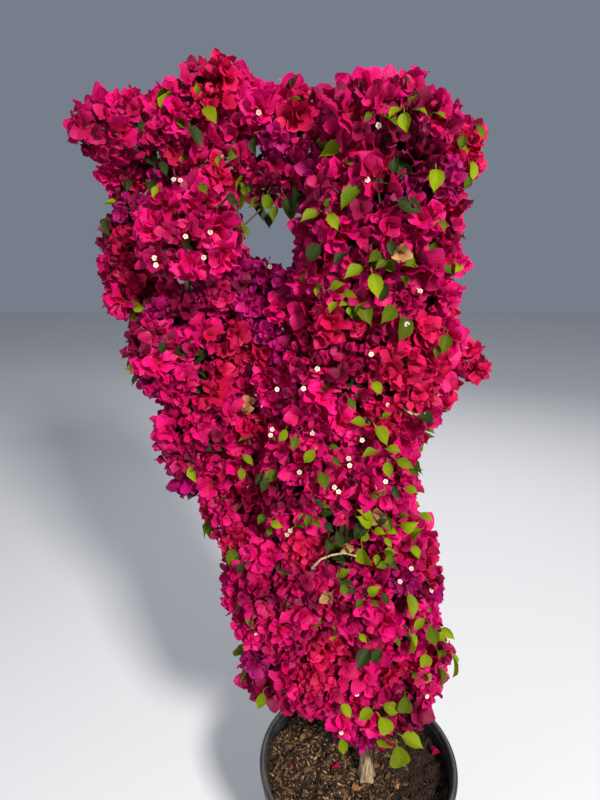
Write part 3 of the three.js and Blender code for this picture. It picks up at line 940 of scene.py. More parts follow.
@dataclass
class NurseryPot:
    """The round nursery pot: a tapering body, a collar with a rolled lip, two grips and drain holes."""

    rim_radius: float = 0.215
    height: float = 0.382
    base_radius: float = 0.165
    wall: float = 0.003
    floor: float = 0.004
    heel: float = 0.005
    lip_width: float = 0.012
    lip_depth: float = 0.011
    lip_proud: float = 0.005
    lip_edge: float = 0.003
    collar_depth: float = 0.062
    collar_step: float = 0.006
    sides: int = 160
    grip_half: Point = (0.007, 0.012, 0.016)
    grip_sunk: float = 0.009
    grip_turns: Pair = (-0.22, 0.78)
    grip_square: float = 0.55
    grip_sides: int = 24
    grip_rings: int = 11
    drain_count: int = 6
    drain_radius: float = 0.009
    drain_circle: float = 0.132
    drain_sides: int = 20

    @property
    def collar_foot(self) -> float:
        """The height at which the collar starts."""
        return self.height - self.collar_depth

    @property
    def body_top(self) -> float:
        """The body's outer radius just under the collar."""
        return self.rim_radius - self.lip_width / 2 - self.collar_step

    def inner_radius(self, height: Array | float) -> Array:
        """Gives the radius of the inner wall.

        Args:
            height: One height or several.

        Returns:
            The radius at each height.
        """
        heights = [self.floor, self.collar_foot, self.height - self.lip_edge]
        radii = [self.base_radius - self.wall, self.body_top - self.wall, self.rim_radius - self.lip_width]
        return np.interp(height, heights, radii)

    def _section(self) -> Array:
        """Builds the pot's section, from the middle of its underside to the middle of its floor.

        Returns:
            Its points between the two, as radius and height.
        """
        rim, top, edge = self.rim_radius, self.height, self.lip_edge
        base, step = self.base_radius, self.collar_foot
        lip_foot, neck, inner = top - self.lip_depth, self.body_top - self.wall, rim - self.lip_width
        soft, crisp = 0.0026, 0.0012
        corners = np.array([
            (0, 0, 0),
            (base - self.heel, 0, 0.004),
            (base, self.heel, 0.006),
            (self.body_top, step, crisp),
            (self.body_top + self.collar_step, step + edge, soft),
            (rim - self.lip_proud, lip_foot, crisp),
            (rim, lip_foot + edge, soft),
            (rim, top - edge, soft),
            (rim - edge, top, soft),
            (inner + edge, top, soft),
            (inner, top - edge, soft),
            (inner - 0.0008, lip_foot, crisp),
            (inner - 0.0032, lip_foot - 0.003, crisp),
            (neck + 0.0006, step + 0.004, soft),
            (neck, step, soft),
            (base - self.wall, self.floor, 0.003),
            (0, self.floor, 0),
        ])
        points = []
        for before, here, after in zip(corners, corners[1:], corners[2:]):
            back, on = before[:2] - here[:2], after[:2] - here[:2]
            reach = min(here[2], 0.45 * norm(back), 0.45 * norm(on))
            start, end = here[:2] + unit(back) * reach, here[:2] + unit(on) * reach
            t = np.linspace(0, 1, 4)[:, None]
            points.append(start * (1 - t) ** 2 + 2 * here[:2] * t * (1 - t) + end * t**2)
        return np.vstack(points)

    def _grip(self, turn: float) -> tuple[Array, list]:
        """Builds one rounded lug on the collar.

        Args:
            turn: Where it sits round the pot, in half turns.

        Returns:
            Its vertices and faces.
        """
        rings, outline = [], ring(self.grip_sides)
        outline = np.sign(outline) * np.abs(outline) ** self.grip_square
        for tilt in np.linspace(-0.5, 0.5, self.grip_rings + 2)[1:-1] * math.pi:
            level = np.sign(math.sin(tilt)) * abs(math.sin(tilt)) ** self.grip_square
            rings.append(outline * math.cos(tilt) ** self.grip_square + UP * level)
        points, faces = shell(rings, -UP, UP)
        out = np.array([math.cos(turn * math.pi), math.sin(turn * math.pi), 0])
        middle = out * (self.rim_radius - self.grip_sunk) + UP * (self.height - self.collar_depth / 2)
        return middle + points * self.grip_half @ np.array([out, [-out[1], out[0], 0], UP]), faces

    def build(self) -> Piece:
        """Builds the pot.

        Returns:
            The finished pot.
        """
        body = mesh_object("pot_shell", *shell([ring(self.sides, *point) for point in self._section()]))
        middles = ring(2 * self.drain_count, self.drain_circle)[1::2]
        heights = (-self.floor, 2 * self.floor)
        rounds = [ring(self.drain_sides, self.drain_radius, height) for height in heights]
        pins = [shell([middle + points for points in rounds]) for middle in middles]
        drill, *more = [mesh_object("drill", *pin) for pin in pins]
        for pin in more:
            merge_into(drill, pin)
        cut = body.modifiers.new("drain_holes", "BOOLEAN")
        cut.operation, cut.solver, cut.object = "DIFFERENCE", "EXACT", drill
        pot = settled(body, "nursery_pot")
        bpy.data.objects.remove(drill)
        for turn in self.grip_turns:
            merge_into(pot, mesh_object("grip", *self._grip(turn)))
        pot.data.materials.clear()
        pot.data.materials.append(BLACK_PLASTIC.material())
        return pot


@dataclass
class PottingMix:
    """Composted bark: a rough bed, higher on the left, with loose chips and a few white grains on it. The
    paler chips keep to the left, which paints sunlight there and shade on the right.
    """

    pot: NurseryPot
    level: float = 0.342
    bump: float = 0.0042
    slope: float = 0.05
    level_patch: Pair = (0.045, 0.090)
    trunk_at: Pair = (0.019, -0.015)
    rings: int = 64
    sides: int = 144
    rough: float = 0.007
    clear: float = 0.001
    lift: float = 0.0006
    seed: int = 41
    bare_rings: int = 3
    chip_shapes: int = 8
    chip_half: Point = (0.0082, 0.0024, 0.0012)
    grain_half: Point = (0.0019, 0.0016, 0.0014)

    def height(self, x: Array, y: Array) -> Array:
        """Gives the height of the bed, without its fine lumps.

        Args:
            x: The places' distance to the right.
            y: The places' distance to the back.

        Returns:
            The height at each place.
        """
        near, far = self.level_patch
        share = np.clip((np.hypot(x - self.trunk_at[0], y - self.trunk_at[1]) - near) / (far - near), 0, 1)
        wave = np.sin(71 * x + 1.3) * np.cos(83 * y) + 0.6 * np.sin(130 * x - 170 * y)
        return self.level + share * share * (3 - 2 * share) * (self.bump * wave - self.slope * x)

    def _surface(self) -> Array:
        """Builds the bed's surface.

        Returns:
            Its points: its middle, then ring after ring out to the pot's wall.
        """
        edge = ring(self.sides, self.pot.inner_radius(self.level) - self.clear)
        for _ in range(3):
            edge = ring(self.sides, self.pot.inner_radius(self.height(edge[:, 0], edge[:, 1])) - self.clear)
        shares = np.arange(1, self.rings + 1) / self.rings
        x, y = (np.append(0.0, np.outer(shares, edge[:, axis])) for axis in (0, 1))
        lumps = [noise.fractal(Vector((a * 26, b * 26, 0.4)), 0.7, 2.1, 5) for a, b in zip(x, y)]
        return np.stack([x, y, self.height(x, y) + self.rough * np.array(lumps)], axis=1)

    def build(self) -> Piece:
        """Builds the bed as one closed body.

        Returns:
            The finished bed.
        """
        surface, heights = self._surface(), (self.pot.floor + self.lift, self.pot.collar_foot)
        rings = [ring(self.sides, self.pot.inner_radius(height) - self.clear, height) for height in heights]
        rings += list(surface[1:].reshape(self.rings, self.sides, 3)[::-1])
        made = mesh_object("mix_bed", *shell(rings, top=surface[0]))
        made.data.materials.append(MIX_SKIN.material())
        return made

    def _top_faces(self, rings: int) -> list:
        """Gives the faces of the bed's surface out to a ring.

        Args:
            rings: How many rings of the surface they cover.

        Returns:
            The corners of each face.
        """
        faces = [(0, 1 + i, 1 + (i + 1) % self.sides) for i in range(self.sides)]
        for start in range(1, 1 + (rings - 1) * self.sides, self.sides):
            faces += [face[::-1] for face in wall_between(start, start + self.sides, self.sides)]
        return faces

    def scatter(self) -> list[Piece]:
        """Scatters bark chips and white grains over the bed.

        Returns:
            A piece for each shade of chip, and one of grains.
        """
        inner = self.rings - self.bare_rings
        surface = self._surface()[: 1 + inner * self.sides]
        random = np.random.default_rng(self.seed)
        halves = (self.chip_half, self.grain_half)
        shapes = [[self._chip(random, half) for half in halves] for _ in range(self.chip_shapes)]
        chips = ShapeStore("chips", [pair[0] for pair in shapes])
        grains = ShapeStore("grains", [pair[1] for pair in shapes])
        layers = (
            # The last column is how far right a layer goes: the tan and brown chips keep to the left,
            # painting sunlight there and shade on the right.
            ("chips_dark", ChipTint.DARK.value, chips, 7, 0.0050, (0.6, 1.7), 1.0),
            ("chips_brown", ChipTint.BROWN.value, chips, 8, 0.0075, (0.5, 1.8), 0.09),
            ("chips_tan", ChipTint.TAN.value, chips, 9, 0.0115, (0.4, 1.6), 0.0),
            ("chips_large", ChipTint.BROWN.value, chips, 11, 0.036, (2.0, 3.4), 0.12),
            ("perlite", PERLITE, grains, 10, 0.050, (0.5, 1.2), 1.0),
        )
        made, arranger = [], ChipArranger()
        for name, finish, store, seed, spacing, sizes, lit_edge in layers:
            # Each layer keeps to the faces left of its edge: painted light and shade across the bed.
            faces = [face for face in self._top_faces(inner) if surface[list(face), 0].mean() < lit_edge]
            values = {"Shapes": store.collection, "Finish": finish.material(), "Seed": seed}
            values |= {"Spacing": spacing, "Least Size": sizes[0], "Most Size": sizes[1]}
            made.append(arranger.run(mesh_object(f"{name}_bed", surface, faces), name, values))
        chips.clear()
        grains.clear()
        return made

    @staticmethod
    def _chip(random: Chance, half: Point) -> tuple[Array, list]:
        """Builds one splinter: a rough slab of six sides.

        Args:
            random: The source of chance.
            half: Half of its length, width and thickness.

        Returns:
            Its vertices and faces.
        """
        sides = 6
        angles = (np.arange(sides) + random.uniform(-0.3, 0.3, sides)) / sides * FULL_TURN
        spread = random.uniform(0.7, 1.1, sides)
        vertices = []
        for level, shrink in ((-1, 0.9), (1, 0.8)):
            rise = level * random.uniform(0.6, 1.2, sides)
            vertices += list(zip(np.cos(angles) * spread * shrink, np.sin(angles) * spread * shrink, rise))
        caps = [range(sides)[::-1], range(sides, 2 * sides)]
        return np.array(vertices) * half, wall_between(0, sides, sides) + [tuple(cap) for cap in caps]


# The crown's masses and limbs, as in the part's source


class Lobe(Enum):
    """The parts of the crown, each dressed by pieces of its own."""

    COLUMN = "column"
    SKIRT = "skirt"
    HEAD = "head"


class Cast(Enum):
    """How a mass's heads of blossom are coloured: the share of each tint, and of young heads. The sunlit,
    mixed, dusky and shaded casts paint how much sun or shade falls on the mass, the dusky one being half
    shade. The rosy one holds more young crimson heads.
    """

    SUNLIT = ((0.68, 0.19, 0.10, 0.03), 0.2)
    MIXED = ((0.46, 0.31, 0.14, 0.09), 0.3)
    DUSKY = ((0.26, 0.44, 0.08, 0.22), 0.35)
    ROSY = ((0.36, 0.22, 0.38, 0.04), 0.6)
    SHADED = ((0.12, 0.38, 0.06, 0.44), 0.3)


@dataclass(frozen=True)
class Mass:
    """One mass of blossom: its middle and reach, its colouring with its painted sun or shade, how leafy it is
    and its flowers' size.
    """

    name: str
    middle: Point
    reach: Point
    cast: Cast = Cast.MIXED
    leafy: float = 0.3
    bloom: float = 1.0

    @property
    def node(self) -> str:
        """The frame's node for this mass."""
        return f"{self.name}_mass"

    @property
    def lobe(self) -> Lobe:
        """The part of the crown that it belongs to."""
        first = self.name.split("_")[0]
        return {"right": Lobe.COLUMN, "low": Lobe.SKIRT}.get(first, Lobe.HEAD)


MASSES = (
    Mass("right_top", (0.003, -0.010, 1.628), (0.106, 0.110, 0.096), Cast.DUSKY, 0.25),
    Mass("right_tip", (0.104, -0.005, 1.611), (0.048, 0.062, 0.062), Cast.ROSY, 0.4),
    Mass("right_shoulder", (-0.005, -0.010, 1.512), (0.131, 0.125, 0.112), Cast.DUSKY, 0.35),
    Mass("right_upper", (-0.007, 0.0, 1.390), (0.141, 0.128, 0.122), Cast.MIXED, 0.4),
    Mass("right_spur", (0.158, 0.0, 1.280), (0.045, 0.045, 0.046), Cast.ROSY, 0.5),
    Mass("right_middle", (-0.020, 0.0, 1.250), (0.151, 0.131, 0.128), Cast.SUNLIT, 0.3),
    Mass("right_waist", (-0.045, 0.0, 1.085), (0.160, 0.141, 0.134), Cast.SUNLIT, 0.35),
    Mass("low_front", (-0.067, -0.005, 0.872), (0.210, 0.162, 0.150), Cast.SUNLIT, 0.35),
    Mass("low_skirt", (-0.034, 0.0, 0.680), (0.212, 0.151, 0.124), Cast.SUNLIT, 0.4),
    Mass("low_tip", (0.002, -0.030, 0.572), (0.093, 0.088, 0.064), Cast.MIXED, 0.6),
    Mass("left_peak", (-0.270, 0.110, 1.688), (0.076, 0.078, 0.081), Cast.SUNLIT, 0.25),
    Mass("left_arm", (-0.358, 0.110, 1.654), (0.070, 0.066, 0.064), Cast.MIXED, 0.25),
    Mass("left_tip", (-0.449, 0.100, 1.652), (0.063, 0.061, 0.060), Cast.MIXED, 0.2, 1.15),
    Mass("bridge", (-0.144, 0.060, 1.658), (0.078, 0.070, 0.066), Cast.MIXED, 0.3),
    Mass("bridge_drop", (-0.165, 0.050, 1.573), (0.046, 0.044, 0.040), Cast.MIXED, 0.5),
    Mass("peak_drop", (-0.255, 0.080, 1.598), (0.052, 0.048, 0.042), Cast.ROSY, 0.5),
    Mass("left_ball", (-0.306, 0.040, 1.490), (0.091, 0.088, 0.086), Cast.SUNLIT, 0.1, 1.2),
    Mass("left_back", (-0.427, 0.150, 1.432), (0.062, 0.092, 0.122), Cast.ROSY, 0.5),
    Mass("left_inner", (-0.214, 0.070, 1.384), (0.078, 0.072, 0.070), Cast.SHADED, 0.2),
    Mass("left_middle", (-0.320, 0.070, 1.285), (0.118, 0.105, 0.108), Cast.SUNLIT, 0.25),
    Mass("left_low", (-0.292, 0.070, 1.122), (0.109, 0.101, 0.108), Cast.SUNLIT, 0.35),
    Mass("left_foot", (-0.243, 0.050, 0.985), (0.080, 0.076, 0.084), Cast.ROSY, 0.5),
)


class MassSpaces:
    """The spaces that the masses keep to: a rounded reach, and flat walls between neighbours."""

    ROUNDNESS = 3
    GAP = 0.003
    LEAST_FACING = 1e-6

    def __init__(self, masses: tuple[Mass, ...]) -> None:
        """Works out the walls between the masses.

        Args:
            masses: The masses.
        """
        self.index = {mass.name: i for i, mass in enumerate(masses)}
        self.middles = np.array([mass.middle for mass in masses])
        self.reaches = np.array([mass.reach for mass in masses])
        self.walls = [self._walls_of(k) for k in range(len(masses))]

    def share(self, k: int, offsets: Array) -> Array:
        """Measures offsets from a mass's middle as shares of its reach."""
        return (np.abs(offsets / self.reaches[k]) ** self.ROUNDNESS).sum(-1) ** (1 / self.ROUNDNESS)

    def _walls_of(self, k: int) -> tuple[Array, Array]:
        """Finds the walls round a mass.

        Args:
            k: The mass's number.

        Returns:
            The direction of each wall and its distance from the mass's middle.
        """
        others = [i for i in range(len(self.middles)) if i != k]
        towards = self.middles[others] - self.middles[k]
        apart = norm(towards)
        towards = towards / apart[:, None]
        own = 1 / self.share(k, towards)
        theirs = np.array([1 / self.share(i, direction) for i, direction in zip(others, towards)])
        return towards, (apart**2 + own**2 - theirs**2) / (2 * apart) - self.GAP / 2

    def wall_along(self, k: int, directions: Array) -> Array:
        """Gives how far the nearest wall is from a mass's middle.

        Args:
            k: The mass's number.
            directions: One unit vector in each row.

        Returns:
            The distance in each direction.
        """
        towards, distance = self.walls[k]
        facing = directions @ towards.T
        far = distance / np.maximum(facing, self.LEAST_FACING)
        return np.where(facing > self.LEAST_FACING, far, np.inf).min(axis=1)

    def along(self, k: int, directions: Array) -> Array:
        """Gives how far a mass's space goes from its middle in each direction."""
        return np.minimum(1 / self.share(k, directions), self.wall_along(k, directions))

    def entry(self, k: int, outside: Array) -> Array:
        """Gives the point where a line from outside to a mass's middle enters its space."""
        out = unit(outside - self.middles[k])
        return self.middles[k] + out * self.along(k, out[None])[0]

    def shares(self, points: Array) -> Array:
        """Measures points as shares of each mass's reach, one mass in each row."""
        return np.stack([self.share(k, points - middle) for k, middle in enumerate(self.middles)])

    def nearest(self, point: Array) -> int:
        """Gives the mass whose reach holds a point best."""
        return int(self.shares(point[None])[:, 0].argmin())


@dataclass(frozen=True)
class Limb:
    """One limb: what it leaves and how far along, the masses it runs through, and the one it enters."""

    name: str
    parent: str
    at: float
    to: str
    radii: Pair
    through: tuple[str, ...] = ()
    arch: float = 0.0


COLUMN_MASSES = (
    "low_tip", "low_skirt", "low_front", "right_waist", "right_middle", "right_upper", "right_shoulder",
)
HEAD_MASSES = ("left_foot", "left_low", "left_middle", "left_ball", "peak_drop")
LIMBS = (
    Limb("main_stem", "trunk", 1, "right_top", (0.010, 0.0046), COLUMN_MASSES),
    Limb("left_stem", "trunk", 1, "left_peak", (0.009, 0.0042), HEAD_MASSES),
    Limb("spur_bough", "main_stem", 0.62, "right_spur", (0.0055, 0.0035), arch=0.012),
    Limb("tip_bough", "main_stem", 0.9, "right_tip", (0.005, 0.0035), arch=0.010),
    Limb("bridge_bough", "main_stem", 0.9, "bridge", (0.0055, 0.004), arch=0.016),
    Limb("drop_bough", "bridge_bough", 0.6, "bridge_drop", (0.0045, 0.0035), arch=0.004),
    Limb("inner_bough", "main_stem", 0.68, "left_inner", (0.006, 0.004), arch=-0.014),
    Limb("back_bough", "left_stem", 0.6, "left_back", (0.006, 0.004), arch=0.014),
    Limb("arm_bough", "left_stem", 0.82, "left_tip", (0.0055, 0.0035), ("left_arm",)),
)


@dataclass
class Woodwork:
    """The trunk and the limbs, along the same routes as in the part's source."""

    spaces: MassSpaces
    foot: Point = (0.019, -0.015, 0.3423)
    fork: Point = (0.002, 0.002, 0.486)
    trunk_radii: Pair = (0.0135, 0.011)
    trunk_flare: float = 0.008
    trunk_bow: float = 0.005
    buried: float = 0.004
    stem_steps: int = 12
    stem_radius: float = 0.0035
    line_step: float = 0.012
    tubes: dict[str, LimbTube] = field(default_factory=dict)
    stems: list[Array] = field(default_factory=list)

    def grow(self) -> None:
        """Works out the trunk's and the limbs' routes, and the stem inside each mass that a limb enters."""
        foot, fork = np.array(self.foot), np.array(self.fork)
        half = (foot + fork) / 2 + (self.trunk_bow, 0, 0)
        route = Route([foot, foot + UP * self.trunk_radii[0], half, fork])
        trunk = LimbTube("trunk", route, self.trunk_radii, sides=48, ring_step=0.003, ridge=0.10)
        trunk.flare, trunk.collar, trunk.cut = self.trunk_flare, 0.0, foot[2] - self.buried
        self.tubes["trunk"] = trunk
        for limb in LIMBS:
            goal = self.spaces.index[limb.to]
            points = [self.tubes[limb.parent].route.at(limb.at)]
            points += [self.spaces.middles[self.spaces.index[name]] for name in limb.through]
            end = self.spaces.entry(goal, points[-1])
            if limb.arch:
                points.append((points[-1] + end) / 2 + UP * limb.arch)
            self.tubes[limb.name] = LimbTube(limb.name, Route([*points, end]), limb.radii)
            self.stems.append(np.linspace(end, self.spaces.middles[goal], self.stem_steps))

    def build(self) -> dict[str, Piece]:
        """Builds the bark of the trunk and of each limb, and gives the pieces by their node's name."""
        bark = BARK.material()
        return {name: tube.build(bark) for name, tube in self.tubes.items()}

    def line(self) -> tuple[Array, Array]:
        """Samples the limbs and the stems inside the masses.

        Returns:
            One point in each row, and the wood's radius at each.
        """
        points, radii = [], []
        for tube in self.tubes.values():
            shares = np.linspace(0, 1, max(4, round(tube.route.length / self.line_step)))
            points.append(tube.route.at(shares))
            radii.append(np.interp(shares, [0, 1], tube.radii))
        stems = np.vstack(self.stems)
        return np.vstack([*points, stems]), np.concatenate([*radii, np.full(len(stems), self.stem_radius)])


# Bracts, leaves and florets


def blade(
    stations: tuple[float, ...],
    reach: float,
    width: float,
    bend: Pair,
    cup: float,
    wave: Pair,
    shape: Point,
    across: tuple[float, ...] = (-1, -0.55, 0, 0.55, 1),
    crease: float = 2.0,
) -> Shape:
    """Builds a pointed blade that grows from the origin, along +Z and bending towards +X.

    Args:
        stations: The shares of its length at which it has a row of points.
        reach: Its length.
        width: Its greatest width.
        bend: Its angle from +Z at the foot and at the tip.
        cup: How far its edges stand forward, as a share of half its width.
        wave: How far its edges wave, as a share of half its width, and the wave's phase.
        shape: The powers that set where it is widest, and how full it is at the foot and at the tip.
        across: Where each row's points lie, from one edge at -1 to the other at 1.
        crease: How it folds: rounded like a bowl at 2, sharply along its middle at 1.

    Returns:
        Its vertices, its faces and its UV map.
    """
    waves_along, waves_across = 10.5, 2.1
    across = np.array(across)
    fold = np.abs(across) ** crease
    early, *full = shape
    steps = np.array([0, *stations, 1])
    angles = bend[0] + (bend[1] - bend[0]) * steps
    middle = (angles[1:] + angles[:-1]) / 2
    gaps = np.diff(steps) * reach
    out, rise = (np.append(0, np.cumsum(part * gaps)) for part in (np.sin(middle), np.cos(middle)))
    vertices, uv = [(0, 0, 0)], [(0.5, 0)]
    for i, step in enumerate(steps[1:-1], 1):
        fullness = full[0] + (full[1] - full[0]) * step
        half = width / 2 * math.sin(math.pi * step**early) ** fullness
        forward = half * fold * (cup + wave[0] * np.sin(wave[1] + waves_along * step + waves_across * across))
        x, z = out[i] - forward * math.cos(angles[i]), rise[i] + forward * math.sin(angles[i])
        vertices += list(zip(x, across * half, z))
        uv += [(a / 2 + 0.5, step) for a in across]
    row, last = len(across), len(vertices)
    starts = range(1, last, row)
    faces = [(0, 2 + i, 1 + i) for i in range(row - 1)]
    for start in starts[:-1]:
        faces += [(start + j, start + j + 1, start + row + j + 1, start + row + j) for j in range(row - 1)]
    faces += [(starts[-1] + i, starts[-1] + i + 1, last) for i in range(row - 1)]
    return np.array([*vertices, (out[-1], 0, rise[-1])]), faces, np.array([*uv, (0.5, 1)])


def joined(parts: list[Shape]) -> Shape:
    """Joins several small meshes into one.

    Args:
        parts: The vertices, faces and UV map of each.

    Returns:
        The vertices, faces and UV map of all.
    """
    faces, start = [], 0
    for vertices, part_faces, _ in parts:
        faces += [tuple(corner + start for corner in face) for face in part_faces]
        start += len(vertices)
    return np.vstack([part[0] for part in parts]), faces, np.vstack([part[2] for part in parts])


def turned(part: Shape, angle: float, out: float) -> Shape:
    """Moves a small mesh out along +X, and then turns it about +Z.

    Args:
        part: Its vertices, faces and UV map.
        angle: The angle by which it turns.
        out: How far it moves.

    Returns:
        The new vertices, faces and UV map.
    """
    cos, sin = math.cos(angle), math.sin(angle)
    spin = np.array([[cos, -sin, 0], [sin, cos, 0], [0, 0, 1]])
    return part[0] @ spin.T + spin[:, 0] * out, part[1], part[2]


@dataclass(frozen=True)
class Flower:
    """A flower of three papery bracts, opened like a cup. Its foot is at the origin and it opens along +Z."""

    length: float = 0.036
    width: float = 0.029
    spread: float = 0.0013
    # Each of the next three gives a value when it is closed, and what full opening adds to it
    foot: Pair = (0.12, 0.5)
    curl: Pair = (0.1, 0.8)
    cup: Pair = (0.40, -0.5)
    lengths: Pair = (0.85, 1.12)
    widths: Pair = (0.82, 1.12)
    wave: Pair = (0.20, 0.58)
    outline: Point = (0.84, 0.58, 0.66)
    stations: tuple[float, ...] = (0.11, 0.31, 0.51, 0.71, 0.89)
    across: tuple[float, ...] = (-1, -0.55, 0, 0.55, 1)

    def shape(self, openness: float, random: Chance) -> Shape:
        """Builds one flower.

        Args:
            openness: How far it is open, from 0 to 1.
            random: The source of chance.

        Returns:
            Its vertices, faces and UV map.
        """
        bracts = []
        plain, curl, cup = (closed + more * openness for closed, more in (self.foot, self.curl, self.cup))
        for i in range(3):
            foot = plain + random.uniform(-0.1, 0.1)
            bract = blade(
                bend=(foot, foot + curl + random.uniform(-0.3, 0.4)),
                reach=self.length * random.uniform(*self.lengths),
                width=self.width * random.uniform(*self.widths),
                cup=cup + random.uniform(-0.2, 0.2),
                wave=(random.uniform(*self.wave), random.uniform(0, FULL_TURN)),
                shape=self.outline,
                stations=self.stations,
                across=self.across,
            )
            bracts.append(turned(bract, (i + random.uniform(-0.12, 0.12)) * FULL_TURN / 3, self.spread))
        return joined(bracts)


@dataclass(frozen=True)
class Leaf:
    """A pointed leaf on a short stalk. Its root is at the origin, its blade goes along +X and faces +Z."""

    length: float = 0.042
    width: float = 0.026
    stalk: float = 0.010
    stalk_radius: float = 0.0007
    overlap: float = 0.002
    lift: float = 0.15
    sizes: Pair = (0.9, 1.1)
    cup: Pair = (0.4, 0.75)
    wave: Pair = (0.03, 0.14)
    crease: float = 1.15
    outline: Point = (0.74, 0.75, 1.75)
    stations: tuple[float, ...] = (0.06, 0.2, 0.4, 0.6, 0.78, 0.9)

    def shape(self, droop: float, random: Chance) -> Shape:
        """Builds one leaf.

        Args:
            droop: How far its tip hangs down, in radians.
            random: The source of chance.

        Returns:
            Its vertices, faces and UV map.
        """
        foot = math.pi / 2 - self.lift
        vertices, faces, uv = blade(
            bend=(foot, foot + droop),
            reach=self.length * random.uniform(*self.sizes),
            width=self.width * random.uniform(*self.sizes),
            cup=random.uniform(*self.cup),
            wave=(random.uniform(*self.wave), random.uniform(0, FULL_TURN)),
            shape=self.outline,
            stations=self.stations,
            crease=self.crease,
        )
        corners = np.array([0.5, 2.6, 4.7])
        section = np.stack([corners * 0, np.cos(corners), np.sin(corners)], axis=1) * self.stalk_radius
        stalk = np.vstack([section, section + (self.stalk + self.overlap, 0, 0)])
        plain = np.full((len(stalk), 2), 0.5)
        return joined([(vertices + (self.stalk, 0, 0), faces, uv), (stalk, wall_between(3, 0, 3), plain)])


@dataclass(frozen=True)
class Floret:
    """The small white star that opens among the bracts, on its slender tube along +Z."""

    radius: float = 0.0046
    notch: float = 0.82
    tube: float = 0.018
    girth: float = 0.0011
    rim_lift: float = 0.0006
    heart_sink: float = 0.001
    alone: float = 0.001
    apart: float = 0.0055
    lobes: int = 5

    def _star(self) -> Shape:
        """Builds one star.

        Returns:
            Its vertices, faces and UV map.
        """
        lobes, points = self.lobes, 2 * self.lobes
        rim = ring(points, np.tile([1.0, self.notch], lobes) * self.radius, self.tube + self.rim_lift)
        throat, foot = ring(lobes, self.girth * 1.2, self.tube), ring(lobes, self.girth * 0.55)
        heart = (0, 0, self.tube - self.heart_sink)
        faces = []
        for j in range(lobes):
            here, after = points + j, points + (j + 1) % lobes
            left, tip, right = 2 * j, 2 * j + 1, (2 * j + 2) % points
            faces += [(here, left, tip), (here, tip, after), (after, tip, right)]
            faces.append((here, after, points + 2 * lobes))
        faces += wall_between(points + lobes, points, lobes)
        levels = np.repeat([0.7, 0.4, 0.2], (points, lobes, lobes))
        uv = np.vstack([np.stack([levels, levels], axis=1), (0.3, 0.0)])
        return np.vstack([rim, throat, foot, heart]), faces, uv

    def shape(self, count: int, random: Chance) -> Shape:
        """Builds one, two or three stars side by side.

        Args:
            count: How many stars there are.
            random: The source of chance.

        Returns:
            Their vertices, faces and UV map.
        """
        out = self.apart if count > 1 else self.alone
        turns = [i / count * FULL_TURN + random.uniform(0, 1) for i in range(count)]
        return joined([turned(self._star(), turn, out) for turn in turns])


# The camera, which also says where the photo's sprays of leaves lie


@dataclass(frozen=True)
class Viewpoint:
    """The camera's place and view, fitted to the photo's 600 by 800 frame."""

    place: Point = (-0.1265, -0.985, 1.560)
    pitch: float = 19.4
    focal: float = 600.0
    frame: tuple[int, int] = (600, 800)
    sensor: float = 36.0
    sight: Pair = (0.3, 2.2)
    step: float = 0.003

    @property
    def axes(self) -> Array:
        """The view's right, up and forward directions, one in each row."""
        cos, sin = math.cos(math.radians(self.pitch)), math.sin(math.radians(self.pitch))
        return np.array([[1, 0, 0], [0, sin, cos], [0, cos, -sin]])

    def ray(self, pixel: Pair) -> Array:
        """Gives the direction in which a pixel looks."""
        across, down = (np.array(pixel) - np.array(self.frame) / 2) / self.focal
        return unit(np.array([across, -down, 1]) @ self.axes)

    def shown_in(self, spots: tuple, points: Array) -> Array:
        """Tells for each point whether it shows inside one of a picture's round spots.

        Args:
            spots: The pixel of each spot's middle, and its radius in pixels.
            points: One point in each row.

        Returns:
            True for each point that one of the spots holds.
        """
        across, up, away = self.axes @ (points - self.place).T
        plane = np.stack([across, -up], axis=1) * (self.focal / away)[:, None] + np.array(self.frame) / 2
        spots = np.array(spots)
        return (norm(plane[:, None] - spots[:, :2]) < spots[:, 2]).any(axis=1)

    def at_depth(self, pixel: Pair, depth: float) -> Array:
        """Gives the point that a pixel shows in the upright plane at a distance behind the origin."""
        ray = self.ray(pixel)
        return self.place + ray * ((depth - self.place[1]) / ray[1])

    def at_height(self, pixel: Pair, height: float) -> Array:
        """Gives the point that a pixel shows in the level plane at a height."""
        ray = self.ray(pixel)
        return self.place + ray * ((height - self.place[2]) / ray[2])

    def meet(self, pixel: Pair, spaces: MassSpaces) -> tuple[Array, bool]:
        """Finds where a pixel's ray first meets a mass's reach, or passes nearest to one.

        Args:
            pixel: The pixel in the photo's frame.
            spaces: The masses' spaces.

        Returns:
            The point, and whether the ray meets a mass there.
        """
        points = self.place + np.arange(*self.sight, self.step)[:, None] * self.ray(pixel)
        shares = spaces.shares(points).min(axis=0)
        hits = np.flatnonzero(shares <= 1)
        return points[hits[0] if len(hits) else shares.argmin()], len(hits) > 0

    def build(self) -> None:
        """Makes the camera."""
        data = bpy.data.cameras.new("view")
        data.sensor_width = self.sensor
        data.lens = self.focal / max(self.frame) * self.sensor
        data.clip_start, data.clip_end = 0.01, 60.0
        camera = placed("view", data)
        camera.location = self.place
        camera.rotation_euler = (math.radians(90 - self.pitch), 0, 0)
        bpy.context.scene.camera = camera


